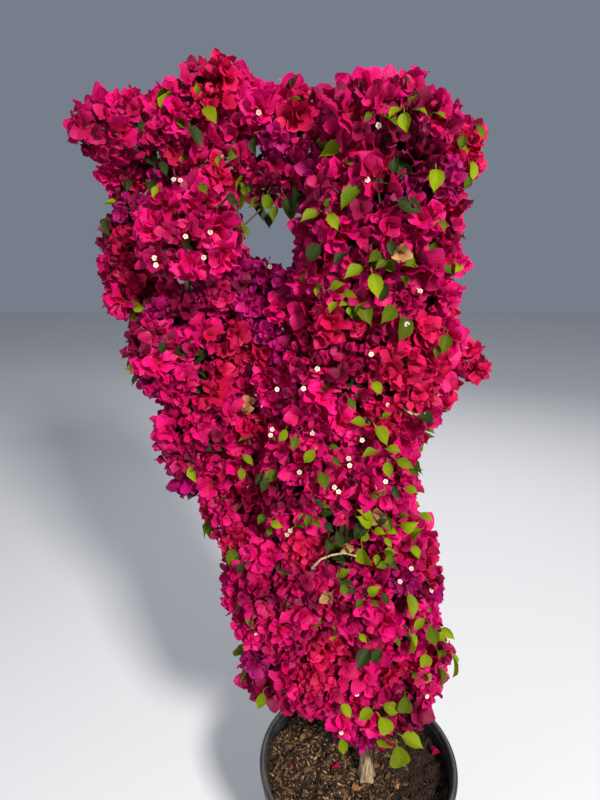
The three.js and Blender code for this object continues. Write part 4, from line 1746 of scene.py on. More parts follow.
# Leaves that stand out in the photo: the pixels of each one's root and tip, under the green that paints it
# sunlit, in half shade or in shade
PHOTO_LEAVES = {
    Green.SUNLIT: (
        (404, 108, 406, 132), (403, 106, 390, 116), (413, 109, 427, 113), (408, 105, 417, 97),
        (434, 112, 444, 119), (436, 164, 435, 191), (323, 210, 303, 222), (326, 211, 338, 228),
        (367, 264, 347, 278), (371, 268, 377, 295), (202, 104, 215, 121), (199, 96, 197, 83),
        (219, 154, 218, 165), (158, 184, 153, 196), (279, 291, 276, 304), (327, 290, 344, 284),
        (339, 294, 355, 298), (338, 300, 329, 311), (348, 303, 341, 304), (349, 305, 349, 315),
        (372, 531, 385, 533), (383, 536, 391, 546), (381, 551, 395, 554), (401, 519, 407, 515),
        (249, 367, 265, 376), (369, 380, 382, 394), (369, 425, 352, 420), (380, 419, 391, 414),
        (373, 422, 386, 444), (287, 426, 280, 442), (317, 447, 304, 463), (381, 450, 363, 457),
        (384, 449, 401, 451), (387, 458, 389, 476), (393, 458, 412, 467), (402, 488, 417, 492),
        (415, 514, 432, 520), (375, 521, 360, 511), (375, 526, 360, 518), (369, 530, 361, 542),
        (361, 541, 368, 571), (378, 552, 376, 564), (407, 545, 421, 558), (412, 543, 419, 530),
        (269, 521, 281, 527), (241, 453, 252, 464), (240, 465, 243, 480), (367, 596, 379, 587),
        (385, 529, 396, 533), (396, 739, 400, 769), (397, 733, 419, 747), (375, 707, 360, 719),
        (377, 712, 392, 737), (379, 704, 399, 711), (339, 701, 350, 717), (341, 735, 343, 752),
        (264, 689, 259, 708), (409, 629, 413, 655), (422, 648, 426, 670), (451, 650, 456, 675),
        (439, 625, 453, 638), (448, 644, 435, 637), (426, 616, 415, 629), (358, 632, 366, 642),
    ),
    Green.MIDDLE: (
        (381, 113, 395, 126), (373, 112, 365, 120), (464, 133, 461, 149), (476, 123, 483, 137),
        (325, 209, 328, 199), (383, 251, 369, 262), (390, 259, 377, 269), (438, 219, 446, 229),
        (468, 173, 466, 189), (288, 99, 300, 101), (368, 301, 353, 313), (395, 557, 385, 562),
        (388, 562, 378, 567), (385, 512, 391, 531), (369, 495, 378, 497), (428, 621, 435, 642),
        (394, 636, 400, 646), (268, 191, 265, 208), (277, 202, 274, 220), (236, 225, 250, 233),
        (347, 396, 354, 409), (297, 433, 293, 449), (327, 446, 338, 448), (332, 455, 340, 465),
        (408, 464, 419, 475), (319, 468, 326, 489), (382, 551, 394, 555), (313, 514, 305, 526),
        (319, 506, 329, 508), (312, 519, 320, 526), (269, 514, 257, 524), (268, 525, 269, 537),
        (341, 581, 346, 596), (411, 671, 419, 678), (365, 598, 356, 608), (448, 330, 443, 352),
        (440, 343, 437, 358), (242, 185, 246, 195), (199, 182, 206, 192), (405, 691, 404, 717),
        (370, 600, 379, 606), (253, 436, 240, 442),
    ),
    Green.DARK: (
        (392, 238, 392, 254), (394, 155, 394, 174), (283, 193, 293, 220), (187, 121, 200, 145),
        (254, 133, 256, 154), (228, 190, 233, 206), (124, 176, 128, 191), (146, 179, 151, 191),
        (106, 215, 108, 234), (253, 201, 262, 220), (270, 209, 269, 226), (288, 202, 293, 218),
        (323, 521, 333, 531), (329, 535, 327, 552), (347, 520, 343, 537), (356, 517, 360, 541),
        (336, 528, 342, 545), (312, 498, 322, 508), (392, 484, 398, 498), (262, 470, 256, 484),
        (160, 158, 166, 174), (245, 560, 238, 574), (380, 590, 388, 604), (262, 330, 270, 344),
        (168, 340, 160, 354), (347, 250, 336, 265), (365, 528, 344, 540), (377, 523, 386, 520),
        (436, 423, 420, 416),
    ),
}
# White stars and dried bracts that show in the photo: the pixel of each
WHITE_STARS = (
    (378, 126), (367, 180), (421, 291), (407, 325), (371, 355), (318, 369), (313, 434), (347, 436),
    (362, 441), (349, 459), (350, 465), (386, 481), (335, 488), (338, 492), (288, 533), (411, 568),
    (400, 582), (249, 488), (299, 472), (303, 389), (277, 390), (271, 432), (177, 179), (211, 232),
    (204, 257), (259, 113), (270, 267), (182, 291), (185, 237), (341, 733), (357, 695), (428, 697),
)
DRIED_BRACTS = (
    (400, 254), (396, 247), (250, 402), (245, 411), (383, 496), (338, 540), (350, 545), (330, 597),
    (431, 674), (380, 515),
)
# Heads of blossom between two masses: pixel, depth behind the origin and reach
LOOSE_HEADS = (
    (268, 332, 0.010, 0.028), (262, 352, 0.020, 0.030), (268, 376, 0.010, 0.032),
    (274, 400, 0.000, 0.030), (290, 284, -0.010, 0.028), (281, 308, -0.010, 0.030),
    (282, 352, -0.010, 0.028), (266, 424, 0.015, 0.028), (276, 448, 0.005, 0.030),
    (266, 474, 0.010, 0.028), (257, 494, 0.005, 0.030), (112, 176, 0.140, 0.026),
    (136, 180, 0.140, 0.028), (160, 178, 0.135, 0.026), (182, 176, 0.110, 0.024),
    (128, 198, 0.150, 0.030), (206, 181, 0.090, 0.022), (126, 171, 0.130, 0.024),
    (165, 170, 0.120, 0.022), (197, 171, 0.100, 0.022), (190, 288, 0.045, 0.026),
    (172, 292, 0.055, 0.026), (214, 284, 0.050, 0.024), (384, 735, -0.060, 0.028),
    (362, 738, -0.060, 0.024), (405, 718, -0.050, 0.028), (422, 470, 0.0, 0.018),
    (437, 660, -0.010, 0.020), (144, 166, 0.130, 0.022), (194, 164, 0.090, 0.022),
    (176, 172, 0.085, 0.020), (175, 158, 0.085, 0.022),
)
# Hollows where leaves and twigs show: pixel and reach
HOLLOWS = (
    (342, 542, 0.044), (322, 520, 0.028), (374, 530, 0.022), (372, 266, 0.024), (396, 205, 0.014),
    (283, 330, 0.024), (383, 562, 0.022), (338, 582, 0.018), (346, 300, 0.022), (158, 165, 0.024),
    (192, 128, 0.016), (262, 196, 0.022), (400, 152, 0.022), (420, 636, 0.024), (276, 470, 0.022),
    (236, 545, 0.020), (330, 240, 0.014), (378, 640, 0.018),
)
# Round spots where nothing grows, and where blossom is sunlit or shady: pixel and radius in pixels
CLEAR_PLACES = (
    (456, 424, 20), (440, 452, 26), (437, 464, 26), (438, 503, 24), (449, 528, 20), (457, 713, 28),
    (445, 736, 26), (268, 724, 20), (292, 733, 22), (314, 741, 22), (331, 750, 15), (156, 484, 20),
    (284, 246, 13), (274, 256, 9), (335, 62, 20), (365, 52, 20), (386, 53, 19), (440, 73, 18),
    (262, 60, 12), (165, 65, 18), (100, 80, 14), (306, 62, 15),
)
SUNNY_PLACES = (
    (286, 250, 18), (284, 310, 24), (331, 296, 16), (134, 90, 16), (392, 461, 14), (461, 226, 14),
    (430, 298, 14), (262, 480, 24), (276, 389, 22), (96, 176, 12), (221, 347, 14), (264, 573, 14),
    (325, 350, 16), (190, 70, 12), (88, 97, 12), (370, 272, 12), (384, 453, 12),
)
SHADY_PLACES = (
    (124, 205, 24), (183, 306, 16), (155, 312, 18), (127, 345, 20), (136, 366, 14), (413, 137, 16),
    (181, 189, 14), (137, 157, 14), (112, 248, 18), (150, 420, 16), (137, 386, 14), (203, 179, 12),
    (213, 275, 13), (250, 668, 13), (267, 701, 13), (285, 138, 14), (277, 86, 12), (124, 224, 16),
    (332, 163, 14), (413, 154, 15), (350, 148, 14), (404, 582, 13), (416, 706, 13), (275, 152, 12),
    (439, 688, 12), (128, 208, 12), (338, 734, 12), (334, 494, 10), (432, 551, 12), (270, 187, 10),
)
# The shares of the tints in those spots, in the order of HEAD_TINTS
SUNNY_SHARES = np.array([0.85, 0.05, 0.1, 0.0])
SHADY_SHARES = np.array([0.0, 0.15, 0.0, 0.2, 0.65])
# Bracts on the mix, and bare twigs, the sunlit ones first: pixels
FALLEN_BRACTS = ((432, 752), (300, 742), (332, 768), (396, 781), (286, 764), (352, 789))
BARE_TWIGS = (
    ((312, 568), (321, 559), (332, 555), (344, 553), (356, 556)),
    ((412, 414), (419, 415), (425, 413)),
    ((229, 196), (238, 212), (243, 228), (243, 240)),
    ((243, 226), (254, 216), (264, 205)),
)
SUNLIT_TWIGS = 2
# The tint of the small flowers beside each tint of head: mostly a darker one, painted shade for the hollows
# between the heads
FILLER_TINTS = {
    Tint.BRIGHT: Tint.DEEP,
    Tint.DEEP: Tint.DIM,
    Tint.CRIMSON: Tint.CRIMSON,
    Tint.VIOLET: Tint.DIM,
    Tint.DIM: Tint.DIM,
}
HEAD_TINTS = tuple(FILLER_TINTS)
# The tints of heads between two masses, in the order of HEAD_TINTS: few bright ones, as painted shade in the
# seams.
LOOSE_SHARES = np.array([0.1, 0.4, 0.25, 0.25])
GREEN_SHARES = (0.35, 0.4, 0.25)
# How many shapes there are of each kind. A floret's shapes have one, two or three stars
FLOWER_SHAPES = 12
BUD_SHAPES = 8
LEAF_SHAPES = 6
FLORET_SHAPES = 3
FLORET_SHARES = (0.74, 0.2, 0.06)


@dataclass(eq=False)
class Head:
    """One rounded head of blossom on a twig's end."""

    centre: Array
    outward: Array
    reach: float
    mass: int
    size: float
    tint: Tint
    inner: bool = False
    loose: bool = False

    def across(self, turn: float) -> Array:
        """Gives a direction across the one that the head faces."""
        return frames_on(self.outward[None], np.array([turn]))[0, :, 0]


@dataclass
class Sprays:
    """What one kind of shape is set out on: places, turns, sizes and the choice of shape."""

    rows: list = field(default_factory=list)

    def add(self, points: Array, frames: Array, sizes: Array, shapes: Array) -> None:
        """Adds places, each with a frame, a size and a shape's number."""
        self.rows.append((points, euler_of(frames), sizes, shapes))

    def host(self, name: str) -> Piece:
        """Makes the points that the shapes are set out on.

        Args:
            name: The object's name.

        Returns:
            The object.
        """
        points, turns, sizes, shapes = (np.concatenate(column) for column in zip(*self.rows))
        sizes = np.repeat(sizes[:, None], 3, axis=1)
        return point_cloud(name, points, turn=turns, size=sizes, shape=shapes)


@dataclass
class Crown:
    """All that grows on the limbs: twigs, heads of blossom, leaves and florets."""

    spaces: MassSpaces
    wood: Woodwork
    view: Viewpoint
    box: Array
    seed: int = 2024
    tries: int = 640
    head_reach: Pair = (0.030, 0.044)
    small_share: float = 0.56
    least_reach: float = 0.024
    insets: tuple[float, ...] = (0.0, 0.002, 0.006, 0.012, 0.020)
    seam: Pair = (0.78, 1.04)
    seam_sink: float = 0.65
    least_wall: float = 0.6
    least_depth: float = 0.3
    head_spread: float = 0.66
    young_size: Pair = (0.55, 0.75)
    grown_size: Pair = (0.84, 1.12)
    young_tints: tuple[float, ...] = (0.5, 0.8, 2.4, 0.5)
    reach_to_size: float = 0.029
    # The share of heads under the surface that take the dim tint, as painted shadow.
    inner_dim_share: float = 0.7
    inner_depth: float = 0.038
    loose_size: float = 0.75
    hub_depth: float = 0.5
    root_drop: float = 0.35
    twig_sway: float = 0.08
    twig_arch: float = 0.12
    bough_girths: Pair = (0.0034, 0.0022)
    twig_girths: Pair = (0.0021, 0.0012)
    bare_girths: Pair = (0.0024, 0.0014)
    leaf_girths: Pair = (0.0009, 0.0007)
    far_leaf_girths: Pair = (0.0012, 0.0009)
    flower_girths: Pair = (0.0008, 0.0006)
    filler_girths: Pair = (0.0009, 0.0006)
    flower_spacing: float = 0.030
    fewest_flowers: int = 6
    flower_shell: float = 0.86
    packing: float = 0.87
    least_facing: Pair = (-0.3, 0.2)
    young_share: float = 0.3
    flower_sizes: Pair = (0.86, 1.12)
    flower_tilt: float = 0.26
    flower_lift: float = 0.08
    flower_shift: Pair = (-0.006, 0.003)
    flower_foot: float = 0.2
    cup_height: float = 0.028
    cup_middle: float = 0.7
    cup_rim: float = 0.8
    buried: float = 0.72
    edge: Pair = (1.02, 1.10)
    box_margin: float = 0.010
    wood_room: float = 0.004
    hollow_sink: float = 0.35
    hollow_leaf_room: float = 0.0085
    leaf_length: float = 0.047
    leaf_depth: Pair = (-0.004, 0.004)
    tip_forward: Pair = (0.006, 0.016)
    leaf_foot: float = 0.014
    leaf_span: Pair = (0.020, 0.042)
    leaf_room: float = 0.014
    hollow_leaf_size: Pair = (0.6, 0.9)
    spray_leaf_size: Pair = (0.6, 1.0)
    spray_leaf_tip: float = 0.045
    spray_most: int = 3
    spray_turn: float = 1.1
    spray_foot: float = 0.6
    # The dark leaves under the blossom, which are painted shade.
    dark_leaf_size: float = 1.1
    dark_leaf_foot: float = 0.012
    dark_leaves: int = 3
    leaf_edge: float = 1.08
    leaf_share: float = 0.36
    hidden_leaf_share: float = 1.5
    full_flower: float = 0.74
    open_flower: float = 0.8
    star_share: float = 0.06
    star_size: float = 0.95
    star_height: float = 0.019
    dried_size: Pair = (0.5, 0.72)
    fallen_size: float = 0.5
    mix_level: float = 0.347
    filler_spacing: float = 0.021
    filler_share: float = 1.2
    filler_apart: float = 0.0165
    filler_depth: Pair = (0.009, 0.034)
    filler_size: Pair = (0.45, 0.72)
    heads: list[Head] = field(default_factory=list)
    flowers: dict = field(default_factory=lambda: defaultdict(Sprays))
    leaves: dict = field(default_factory=lambda: defaultdict(Sprays))
    florets: Sprays = field(default_factory=Sprays)
    boughs: list = field(default_factory=list)
    twigs: list = field(default_factory=list)
    # The bare twigs that take the twig skin with painted sunlight.
    bare: list = field(default_factory=list)
    photo_lines: list = field(default_factory=list)
    cups: list = field(default_factory=list)
    opened: list = field(default_factory=list)
    outer: list[Head] = field(default_factory=list)
    centres: Array = field(init=False)
    random: Chance = field(init=False)
    wood_points: Array = field(init=False)
    wood_radii: Array = field(init=False)
    hollows: Array = field(init=False)
    hollow_reaches: Array = field(init=False)

    def __post_init__(self) -> None:
        """Starts the source of chance, and finds the wood and the photo's hollows."""
        self.random = np.random.default_rng(self.seed)
        self.wood_points, self.wood_radii = self.wood.line()
        self.hollows = np.array([self._met((x, y), reach * self.hollow_sink) for x, y, reach in HOLLOWS])
        self.hollow_reaches = np.array([reach for _, _, reach in HOLLOWS])

    def grow(self) -> None:
        """Works out where everything in the crown grows."""
        for k in range(len(MASSES)):
            self._grow_heads(k, inner=False)
        self._grow_loose_heads()
        self.outer += self.heads
        self.centres = np.array([head.centre for head in self.outer])
        for k in range(len(MASSES)):
            self._grow_heads(k, inner=True)
        self._grow_twigs()
        self._grow_photo_leaves()
        self._line_hollows()
        self._grow_leaves()
        for head in self.heads:
            self._grow_flowers(head)
        self._grow_florets()
        self._set_odd_bracts()
        self._grow_fillers()

    def _met(self, pixel: Pair, depth: float = 0.0) -> Array:
        """Gives the point at a depth behind the place where a pixel's ray meets the masses."""
        return self.view.meet(pixel, self.spaces)[0] + self.view.ray(pixel) * depth

    def _shows_in(self, spots: tuple, point: Array) -> bool:
        """Tells whether a point shows inside one of the photo's round spots."""
        return bool(self.view.shown_in(spots, point[None])[0])

    def _grow_heads(self, k: int, inner: bool) -> None:
        """Spreads heads through one mass's space, as the source spreads its flowers.

        Args:
            k: The mass's number.
            inner: Whether these are the heads under the surface.
        """
        outs = spiral_directions(self.tries, self.random.uniform(0, FULL_TURN))
        reaches, walls = 1 / self.spaces.share(k, outs), self.spaces.wall_along(k, outs)
        most = max(self.least_reach, self.small_share * min(MASSES[k].reach))
        taken = [head for head in self.heads if head.inner == inner]
        centres = np.array([head.centre for head in taken]).reshape(-1, 3)
        sizes = np.array([head.reach for head in taken])
        for out, far, wall in zip(outs, reaches, walls):
            reach = min(self.random.uniform(*self.head_reach), most)
            seam = self.seam[0] < wall / far < self.seam[1] and not inner
            depth = far - reach * (self.seam_sink if seam else 1) - self.random.choice(self.insets)
            depth -= self.inner_depth if inner else 0
            if wall < self.least_wall * depth or (inner and depth < self.least_depth * (far - reach)):
                continue
            centre = self.spaces.middles[k] + out * min(depth, wall)
            crowded = (norm(centres - centre) < self.head_spread * (sizes + reach)).any()
            if crowded or self._shows_in(CLEAR_PLACES, centre):
                continue
            size, tint = self._cast(k, centre, inner)
            self.heads.append(Head(centre, out, reach, k, min(size, reach / self.reach_to_size), tint, inner))
            centres = np.vstack([centres, centre])
            sizes = np.append(sizes, reach)

    def _cast(self, k: int, centre: Array, inner: bool) -> tuple[float, Tint]:
        """Draws the size of a head's flowers, and its tint.

        Args:
            k: The number of its mass.
            centre: The head's centre.
            inner: Whether it lies under the surface.

        Returns:
            The size beside the plain flower, and the tint.
        """
        shares, young = MASSES[k].cast.value
        is_young = self.random.random() < young
        size = self.random.uniform(*(self.young_size if is_young else self.grown_size))
        tint = self._pick_tint(centre, np.array(shares) * (self.young_tints if is_young else 1))
        # Heads under the surface are painted in shadow: the dim tint, or else the deep one.
        if inner:
            tint = Tint.DIM if self.random.random() < self.inner_dim_share else Tint.DEEP
        return size * MASSES[k].bloom, tint

    def _pick_tint(self, centre: Array, shares: Array) -> Tint:
        """Draws a head's tint, which also goes by where the photo shows sunlit or shady blossom.

        Args:
            centre: The head's centre.
            shares: The shares of sunlit bright, deep, crimson and shaded violet heads in its mass.

        Returns:
            The tint.
        """
        for places, cast in ((SUNNY_PLACES, SUNNY_SHARES), (SHADY_PLACES, SHADY_SHARES)):
            if self._shows_in(places, centre):
                shares = cast
        shares = np.pad(shares, (0, len(HEAD_TINTS) - len(shares)))
        return HEAD_TINTS[self.random.choice(len(HEAD_TINTS), p=shares / shares.sum())]

    def _grow_loose_heads(self) -> None:
        """Hangs heads where the photo shows blossom between two masses."""
        for x, y, depth, reach in LOOSE_HEADS:
            centre = self.view.at_depth((x, y), depth)
            k, tint = self.spaces.nearest(centre), self._pick_tint(centre, LOOSE_SHARES)
            self.heads.append(Head(centre, -self.view.axes[2], reach, k, self.loose_size, tint, loose=True))

    def _line_hollows(self) -> None:
        """Sets dim leaves round the back of each hollow: dark and middle greens, as painted shade."""
        for place, reach in zip(self.hollows, self.hollow_reaches):
            inward = unit(place - self.view.place)
            for _ in range(int(reach / self.hollow_leaf_room)):
                root = place + unit(inward + self.random.normal(0, 0.5, 3)) * reach * 0.9
                along = self.random.normal(0, 0.7, 3) - UP * 0.5
                along = along - inward * (along @ inward)
                green = Green.DARK if self.random.random() < 0.5 else Green.MIDDLE
                size = self.random.uniform(*self.hollow_leaf_size)
                self._add_leaf(self.spaces.nearest(place), green, root, along, UP * 0.4 - inward, size)

    def _grow_twigs(self) -> None:
        """Grows boughs from the limbs to hubs in each mass, and a twig from a hub to each head."""
        for k, middle in enumerate(self.spaces.middles):
            own = [head for head in self.heads if head.mass == k]
            outer = sum(not head.inner for head in own)
            outs = spiral_directions(max(3, outer // 4), 0.7 * k)
            hubs = middle + outs * (self.hub_depth * self.spaces.along(k, outs))[:, None]
            self.boughs += [self._twig(self._root_for(hub), hub, self.bough_girths, 7) for hub in hubs]
            for head in own:
                hub = hubs[norm(hubs - head.centre).argmin()]
                self.boughs.append(self._twig(hub, head.centre, self.twig_girths, 5))
        for number, pixels in enumerate(BARE_TWIGS):
            depth = self._met(pixels[0])[1] + 0.004
            points = [self.view.at_depth(pixel, depth) for pixel in pixels]
            inward = self.spaces.middles[self.spaces.nearest(points[0])] - points[0]
            points = np.array([points[0] + inward * 0.3, *points])
            # The sunlit twigs go apart, to take the twig skin with painted sunlight.
            lines = self.bare if number < SUNLIT_TWIGS else self.boughs
            lines.append((points, np.linspace(*self.bare_girths, len(points))))

    def _root_for(self, point: Array) -> Array:
        """Finds the place on the wood that a bough to a point leaves: near it, and a little lower."""
        below = point - UP * self.root_drop * norm(self.wood_points - point).min()
        return self.wood_points[norm(self.wood_points - below).argmin()]

    def _twig(self, start: Array, end: Array, girths: Pair, steps: int) -> tuple[Array, Array]:
        """Bends a twig between two points.

        Args:
            start: Where it leaves.
            end: Where it ends.
            girths: Its radii at the start and at the end.
            steps: How many points it has.

        Returns:
            Its points, and the radius at each.
        """
        sway = self.random.normal(0, self.twig_sway, 3) + UP * self.twig_arch
        t = np.linspace(0, 1, steps)[:, None]
        points = start * (1 - t) + end * t + sway * norm(end - start) * 2 * t * (1 - t)
        return points, girths[0] + (girths[1] - girths[0]) * t[:, 0]

    def _add_stalk(self, start: Array, end: Array, girths: Pair) -> None:
        """Adds a straight stalk with its radii at the start and at the end."""
        self.twigs.append((np.array([start, end]), np.array(girths)))

    def _add_leaf(self, k: int, green: Green, root: Array, along: Array, face: Array, size: float) -> None:
        """Adds one leaf.

        Args:
            k: The number of the mass that it grows in.
            green: Its colour.
            root: Where its stalk starts.
            along: The direction of its blade.
            face: The direction that its upper face turns to, as far as it can.
            size: Its size beside the plain leaf.
        """
        along = unit(along)
        normal = unit(face - along * (face @ along))
        frame = np.stack([along, np.cross(normal, along), normal], axis=1)
        shape = np.array([self.random.integers(LEAF_SHAPES)])
        self.leaves[MASSES[k].lobe, green].add(root[None], frame[None], np.array([size]), shape)
        foot = root + unit(self.spaces.middles[k] - root) * self.leaf_foot
        self._add_stalk(foot, root, self.leaf_girths)

    def _grow_photo_leaves(self) -> None:
        """Sets the leaves that stand out in the photo."""
        for green, (x0, y0, x1, y1) in ((green, leaf) for green in Green for leaf in PHOTO_LEAVES[green]):
            met, found = self.view.meet(((x0 + x1) / 2, (y0 + y1) / 2), self.spaces)
            if not found:
                met, found = self.view.meet((x0, y0), self.spaces)
            root = self.view.at_depth((x0, y0), met[1] + self.random.uniform(*self.leaf_depth))
            tip = self.view.at_depth((x1, y1), met[1] - self.random.uniform(*self.tip_forward))
            face = UP * 0.6 - self.view.axes[2] * 0.7 + self.random.normal(0, 0.3, 3)
            k, size = self.spaces.nearest(root), norm(tip - root) / self.leaf_length
            self._add_leaf(k, green, root, tip - root, face, size)
            along = unit(tip - root) * size
            self.photo_lines.append([root + along * reached for reached in self.leaf_span])
            if not found:
                out = unit(root - self.spaces.middles[k])
                inside = self.spaces.middles[k] + out * 0.8 * self.spaces.along(k, out[None])
                self._add_stalk(inside, root, self.far_leaf_girths)

    def _grow_leaves(self) -> None:
        """Grows leaves round the heads: dark ones under the blossom, painted shade, and some that stand out.
        """
        for head in self.heads:
            if head.inner:
                self._grow_dark_leaves(head)
                continue
            hidden = head.outward @ self.view.axes[2] > 0.1
            share = self.hidden_leaf_share if hidden else self.leaf_share
            if self.random.random() <= MASSES[head.mass].leafy * share:
                self._grow_spray(head)

    def _grow_dark_leaves(self, head: Head) -> None:
        """Grows dark leaves round a head under the blossom: painted shade.

        Args:
            head: The head.
        """
        for _ in range(self.dark_leaves):
            across = head.across(self.random.uniform(0, FULL_TURN))
            along = across + head.outward * self.random.uniform(-0.1, 0.5)
            root, face = head.centre + across * self.dark_leaf_foot, head.outward + UP * 0.3
            self._add_leaf(head.mass, Green.DARK, root, along, face, self.dark_leaf_size)

    def _grow_spray(self, head: Head) -> None:
        """Grows leaves that stand out round a head.

        Args:
            head: The head.
        """
        green = tuple(Green)[self.random.choice(3, p=GREEN_SHARES)]
        start = self.random.uniform(0, FULL_TURN)
        for i in range(self.random.integers(1, self.spray_most + 1)):
            across = head.across(start + i * self.spray_turn + self.random.uniform(-0.3, 0.3))
            out = unit(across + head.outward * 0.6)
            root = head.centre + out * (head.reach * self.spray_foot)
            along = out + across * 0.4 - UP * self.random.uniform(0.1, 0.9)
            face = head.outward + UP * 0.6 + self.random.normal(0, 0.3, 3)
            tip = (root + unit(along) * self.spray_leaf_tip)[None]
            if self.spaces.shares(tip).min() <= self.leaf_edge and self._boxed(tip)[0]:
                size = self.random.uniform(*self.spray_leaf_size)
                self._add_leaf(head.mass, green, root, along, face, size)

    def _boxed(self, points: Array) -> Array:
        """Tells for each point whether it keeps to the frame's box, but for a narrow margin."""
        low, high = self.box[0] - self.box_margin, self.box[1] + self.box_margin
        return ((points > low) & (points < high)).all(axis=1)

    def _fits(self, bases: Array, axes: Array, heights: Array, loose: bool = False) -> Array:
        """Tells for each flower whether it keeps to the masses' ragged edge and off the wood.

        Args:
            bases: The foot of each flower.
            axes: The direction in which each opens.
            heights: How high each stands.
            loose: Whether they may stand outside the masses.

        Returns:
            True for each flower that fits.
        """
        tips = bases + axes * heights[:, None]
        inside = self.spaces.shares(tips).min(axis=0) < self.random.uniform(*self.edge, len(tips))
        wood = norm(bases[:, None] - self.wood_points) - self.wood_radii
        hollow = norm(tips[:, None] - self.hollows) - self.hollow_reaches
        clear = self._boxed(tips) & (wood > self.wood_room).all(axis=1) & (hollow > 0).all(axis=1)
        return clear & (inside | loose) & ~self.view.shown_in(CLEAR_PLACES, tips)

    def _in_the_way(self, points: Array) -> Array:
        """Tells for each point whether it would hide one of the photo's own leaves.

        Args:
            points: One point in each row.

        Returns:
            True for each point that would.
        """
        starts, ends = np.array(self.photo_lines).transpose(1, 0, 2)
        span = ends - starts
        along = ((points[:, None] - starts) * span).sum(2) / (span**2).sum(1)
        nearest = starts + np.clip(along, 0, 1)[..., None] * span
        return (norm(points[:, None] - nearest) < self.leaf_room).any(axis=1)

    def _set_flowers(self, k: int, tint: Tint, bases: Array, axes: Array, sizes: Array) -> Array:
        """Sets flowers in a mass.

        Args:
            k: The mass's number.
            tint: The bracts' colour.
            bases: The foot of each flower.
            axes: The direction in which each opens.
            sizes: The size of each beside the plain flower.

        Returns:
            The flowers' frames.
        """
        frames = frames_on(axes, self.random.uniform(0, FULL_TURN, len(bases)))
        full = self.random.integers(0, FLOWER_SHAPES, len(bases))
        small = FLOWER_SHAPES + self.random.integers(0, BUD_SHAPES, len(bases))
        shapes = np.where(sizes > self.full_flower, full, small)
        self.flowers[MASSES[k].lobe, tint].add(bases, frames, sizes, shapes)
        self.cups.append(bases + axes * (self.cup_height * self.cup_middle * sizes)[:, None])
        return frames

    def _grow_flowers(self, head: Head) -> None:
        """Sets the flowers on a head, without those that are buried or in a leaf's way.

        Args:
            head: The head.
        """
        spacing = self.flower_spacing * head.size
        count = round(4 * math.pi * (self.flower_shell * head.reach) ** 2 / (spacing**2 * self.packing))
        outs = spiral_directions(max(self.fewest_flowers, count), self.random.uniform(0, FULL_TURN))
        spin = frames_on(unit(self.random.normal(0, 1, (1, 3))), self.random.uniform(0, FULL_TURN, 1))[0]
        outs = outs @ spin.T
        outs = outs[outs @ head.outward > (-1 if head.loose else self.least_facing[head.inner])]
        small = self.random.random(len(outs)) < self.young_share
        sizes = head.size * np.where(small, self.random.uniform(*self.young_size, len(outs)), 1.0)
        sizes = sizes * self.random.uniform(*self.flower_sizes, len(outs))
        heights = self.cup_height * sizes
        axes = unit(outs + self.random.normal(0, self.flower_tilt, outs.shape) + UP * self.flower_lift)
        bases = head.centre + outs * np.maximum(head.reach - heights, self.flower_foot * head.reach)[:, None]
        bases = bases + axes * self.random.uniform(*self.flower_shift, (len(outs), 1))
        rims = bases + axes * heights[:, None] * self.cup_rim
        keep = self._fits(bases, axes, heights, head.loose) & ~self._in_the_way(rims)
        if not head.inner:
            apart = norm(rims[:, None] - self.centres) / [other.reach for other in self.outer]
            apart[:, self.outer.index(head)] = np.inf
            keep &= (apart > self.buried).all(axis=1)
        if not keep.any():
            return
        bases, axes, sizes = bases[keep], axes[keep], sizes[keep]
        frames = self._set_flowers(head.mass, head.tint, bases, axes, sizes)
        if not head.inner:
            for base, axis in zip(bases, axes):
                root = head.centre + (base - head.centre) * self.flower_foot
                self._add_stalk(root, base + axis * 0.001, self.flower_girths)
            grown = sizes > self.open_flower
            self.opened.append((bases[grown], frames[grown], sizes[grown]))

    def _grow_fillers(self) -> None:
        """Sets small young flowers on short stalks in the hollows between the heads, in darker tints as
        painted shade.
        """
        taken = list(np.vstack(self.cups))
        for k, middle in enumerate(self.spaces.middles):
            area = 4 * math.pi * self.spaces.reaches[k].mean() ** 2
            outs = spiral_directions(round(self.filler_share * area / self.filler_spacing**2), 0.3 * k)
            depths = np.minimum(1 / self.spaces.share(k, outs), self.spaces.wall_along(k, outs) + 0.01)
            depths = depths - self.random.uniform(*self.filler_depth, len(outs))
            outs = unit(outs + self.random.normal(0, 0.05, outs.shape))
            points = middle + outs * depths[:, None]
            tree = KDTree(len(taken))
            for i, place in enumerate(taken):
                tree.insert(place, i)
            tree.balance()
            free = np.array([tree.find(point)[2] > self.filler_apart for point in points])
            sizes = self.random.uniform(*self.filler_size, len(outs))
            axes = unit(outs + self.random.normal(0, 0.35, outs.shape) + UP * 0.05)
            bases = points - axes * (self.cup_height * self.cup_middle * sizes)[:, None]
            free &= self._fits(bases, axes, self.cup_height * sizes) & ~self._in_the_way(points)
            nearest = norm(points[:, None] - self.centres).argmin(axis=1)
            for tint in Tint:
                of_tint = np.array([FILLER_TINTS[self.outer[i].tint] is tint for i in nearest]) & free
                if of_tint.any():
                    self._set_flowers(k, tint, bases[of_tint], axes[of_tint], sizes[of_tint])
            for i in np.flatnonzero(free):
                start = self.centres[nearest[i]]
                root = start + (bases[i] - start) * 0.3
                self._add_stalk(root, bases[i] + axes[i] * 0.001, self.filler_girths)
            taken += list(points[free])

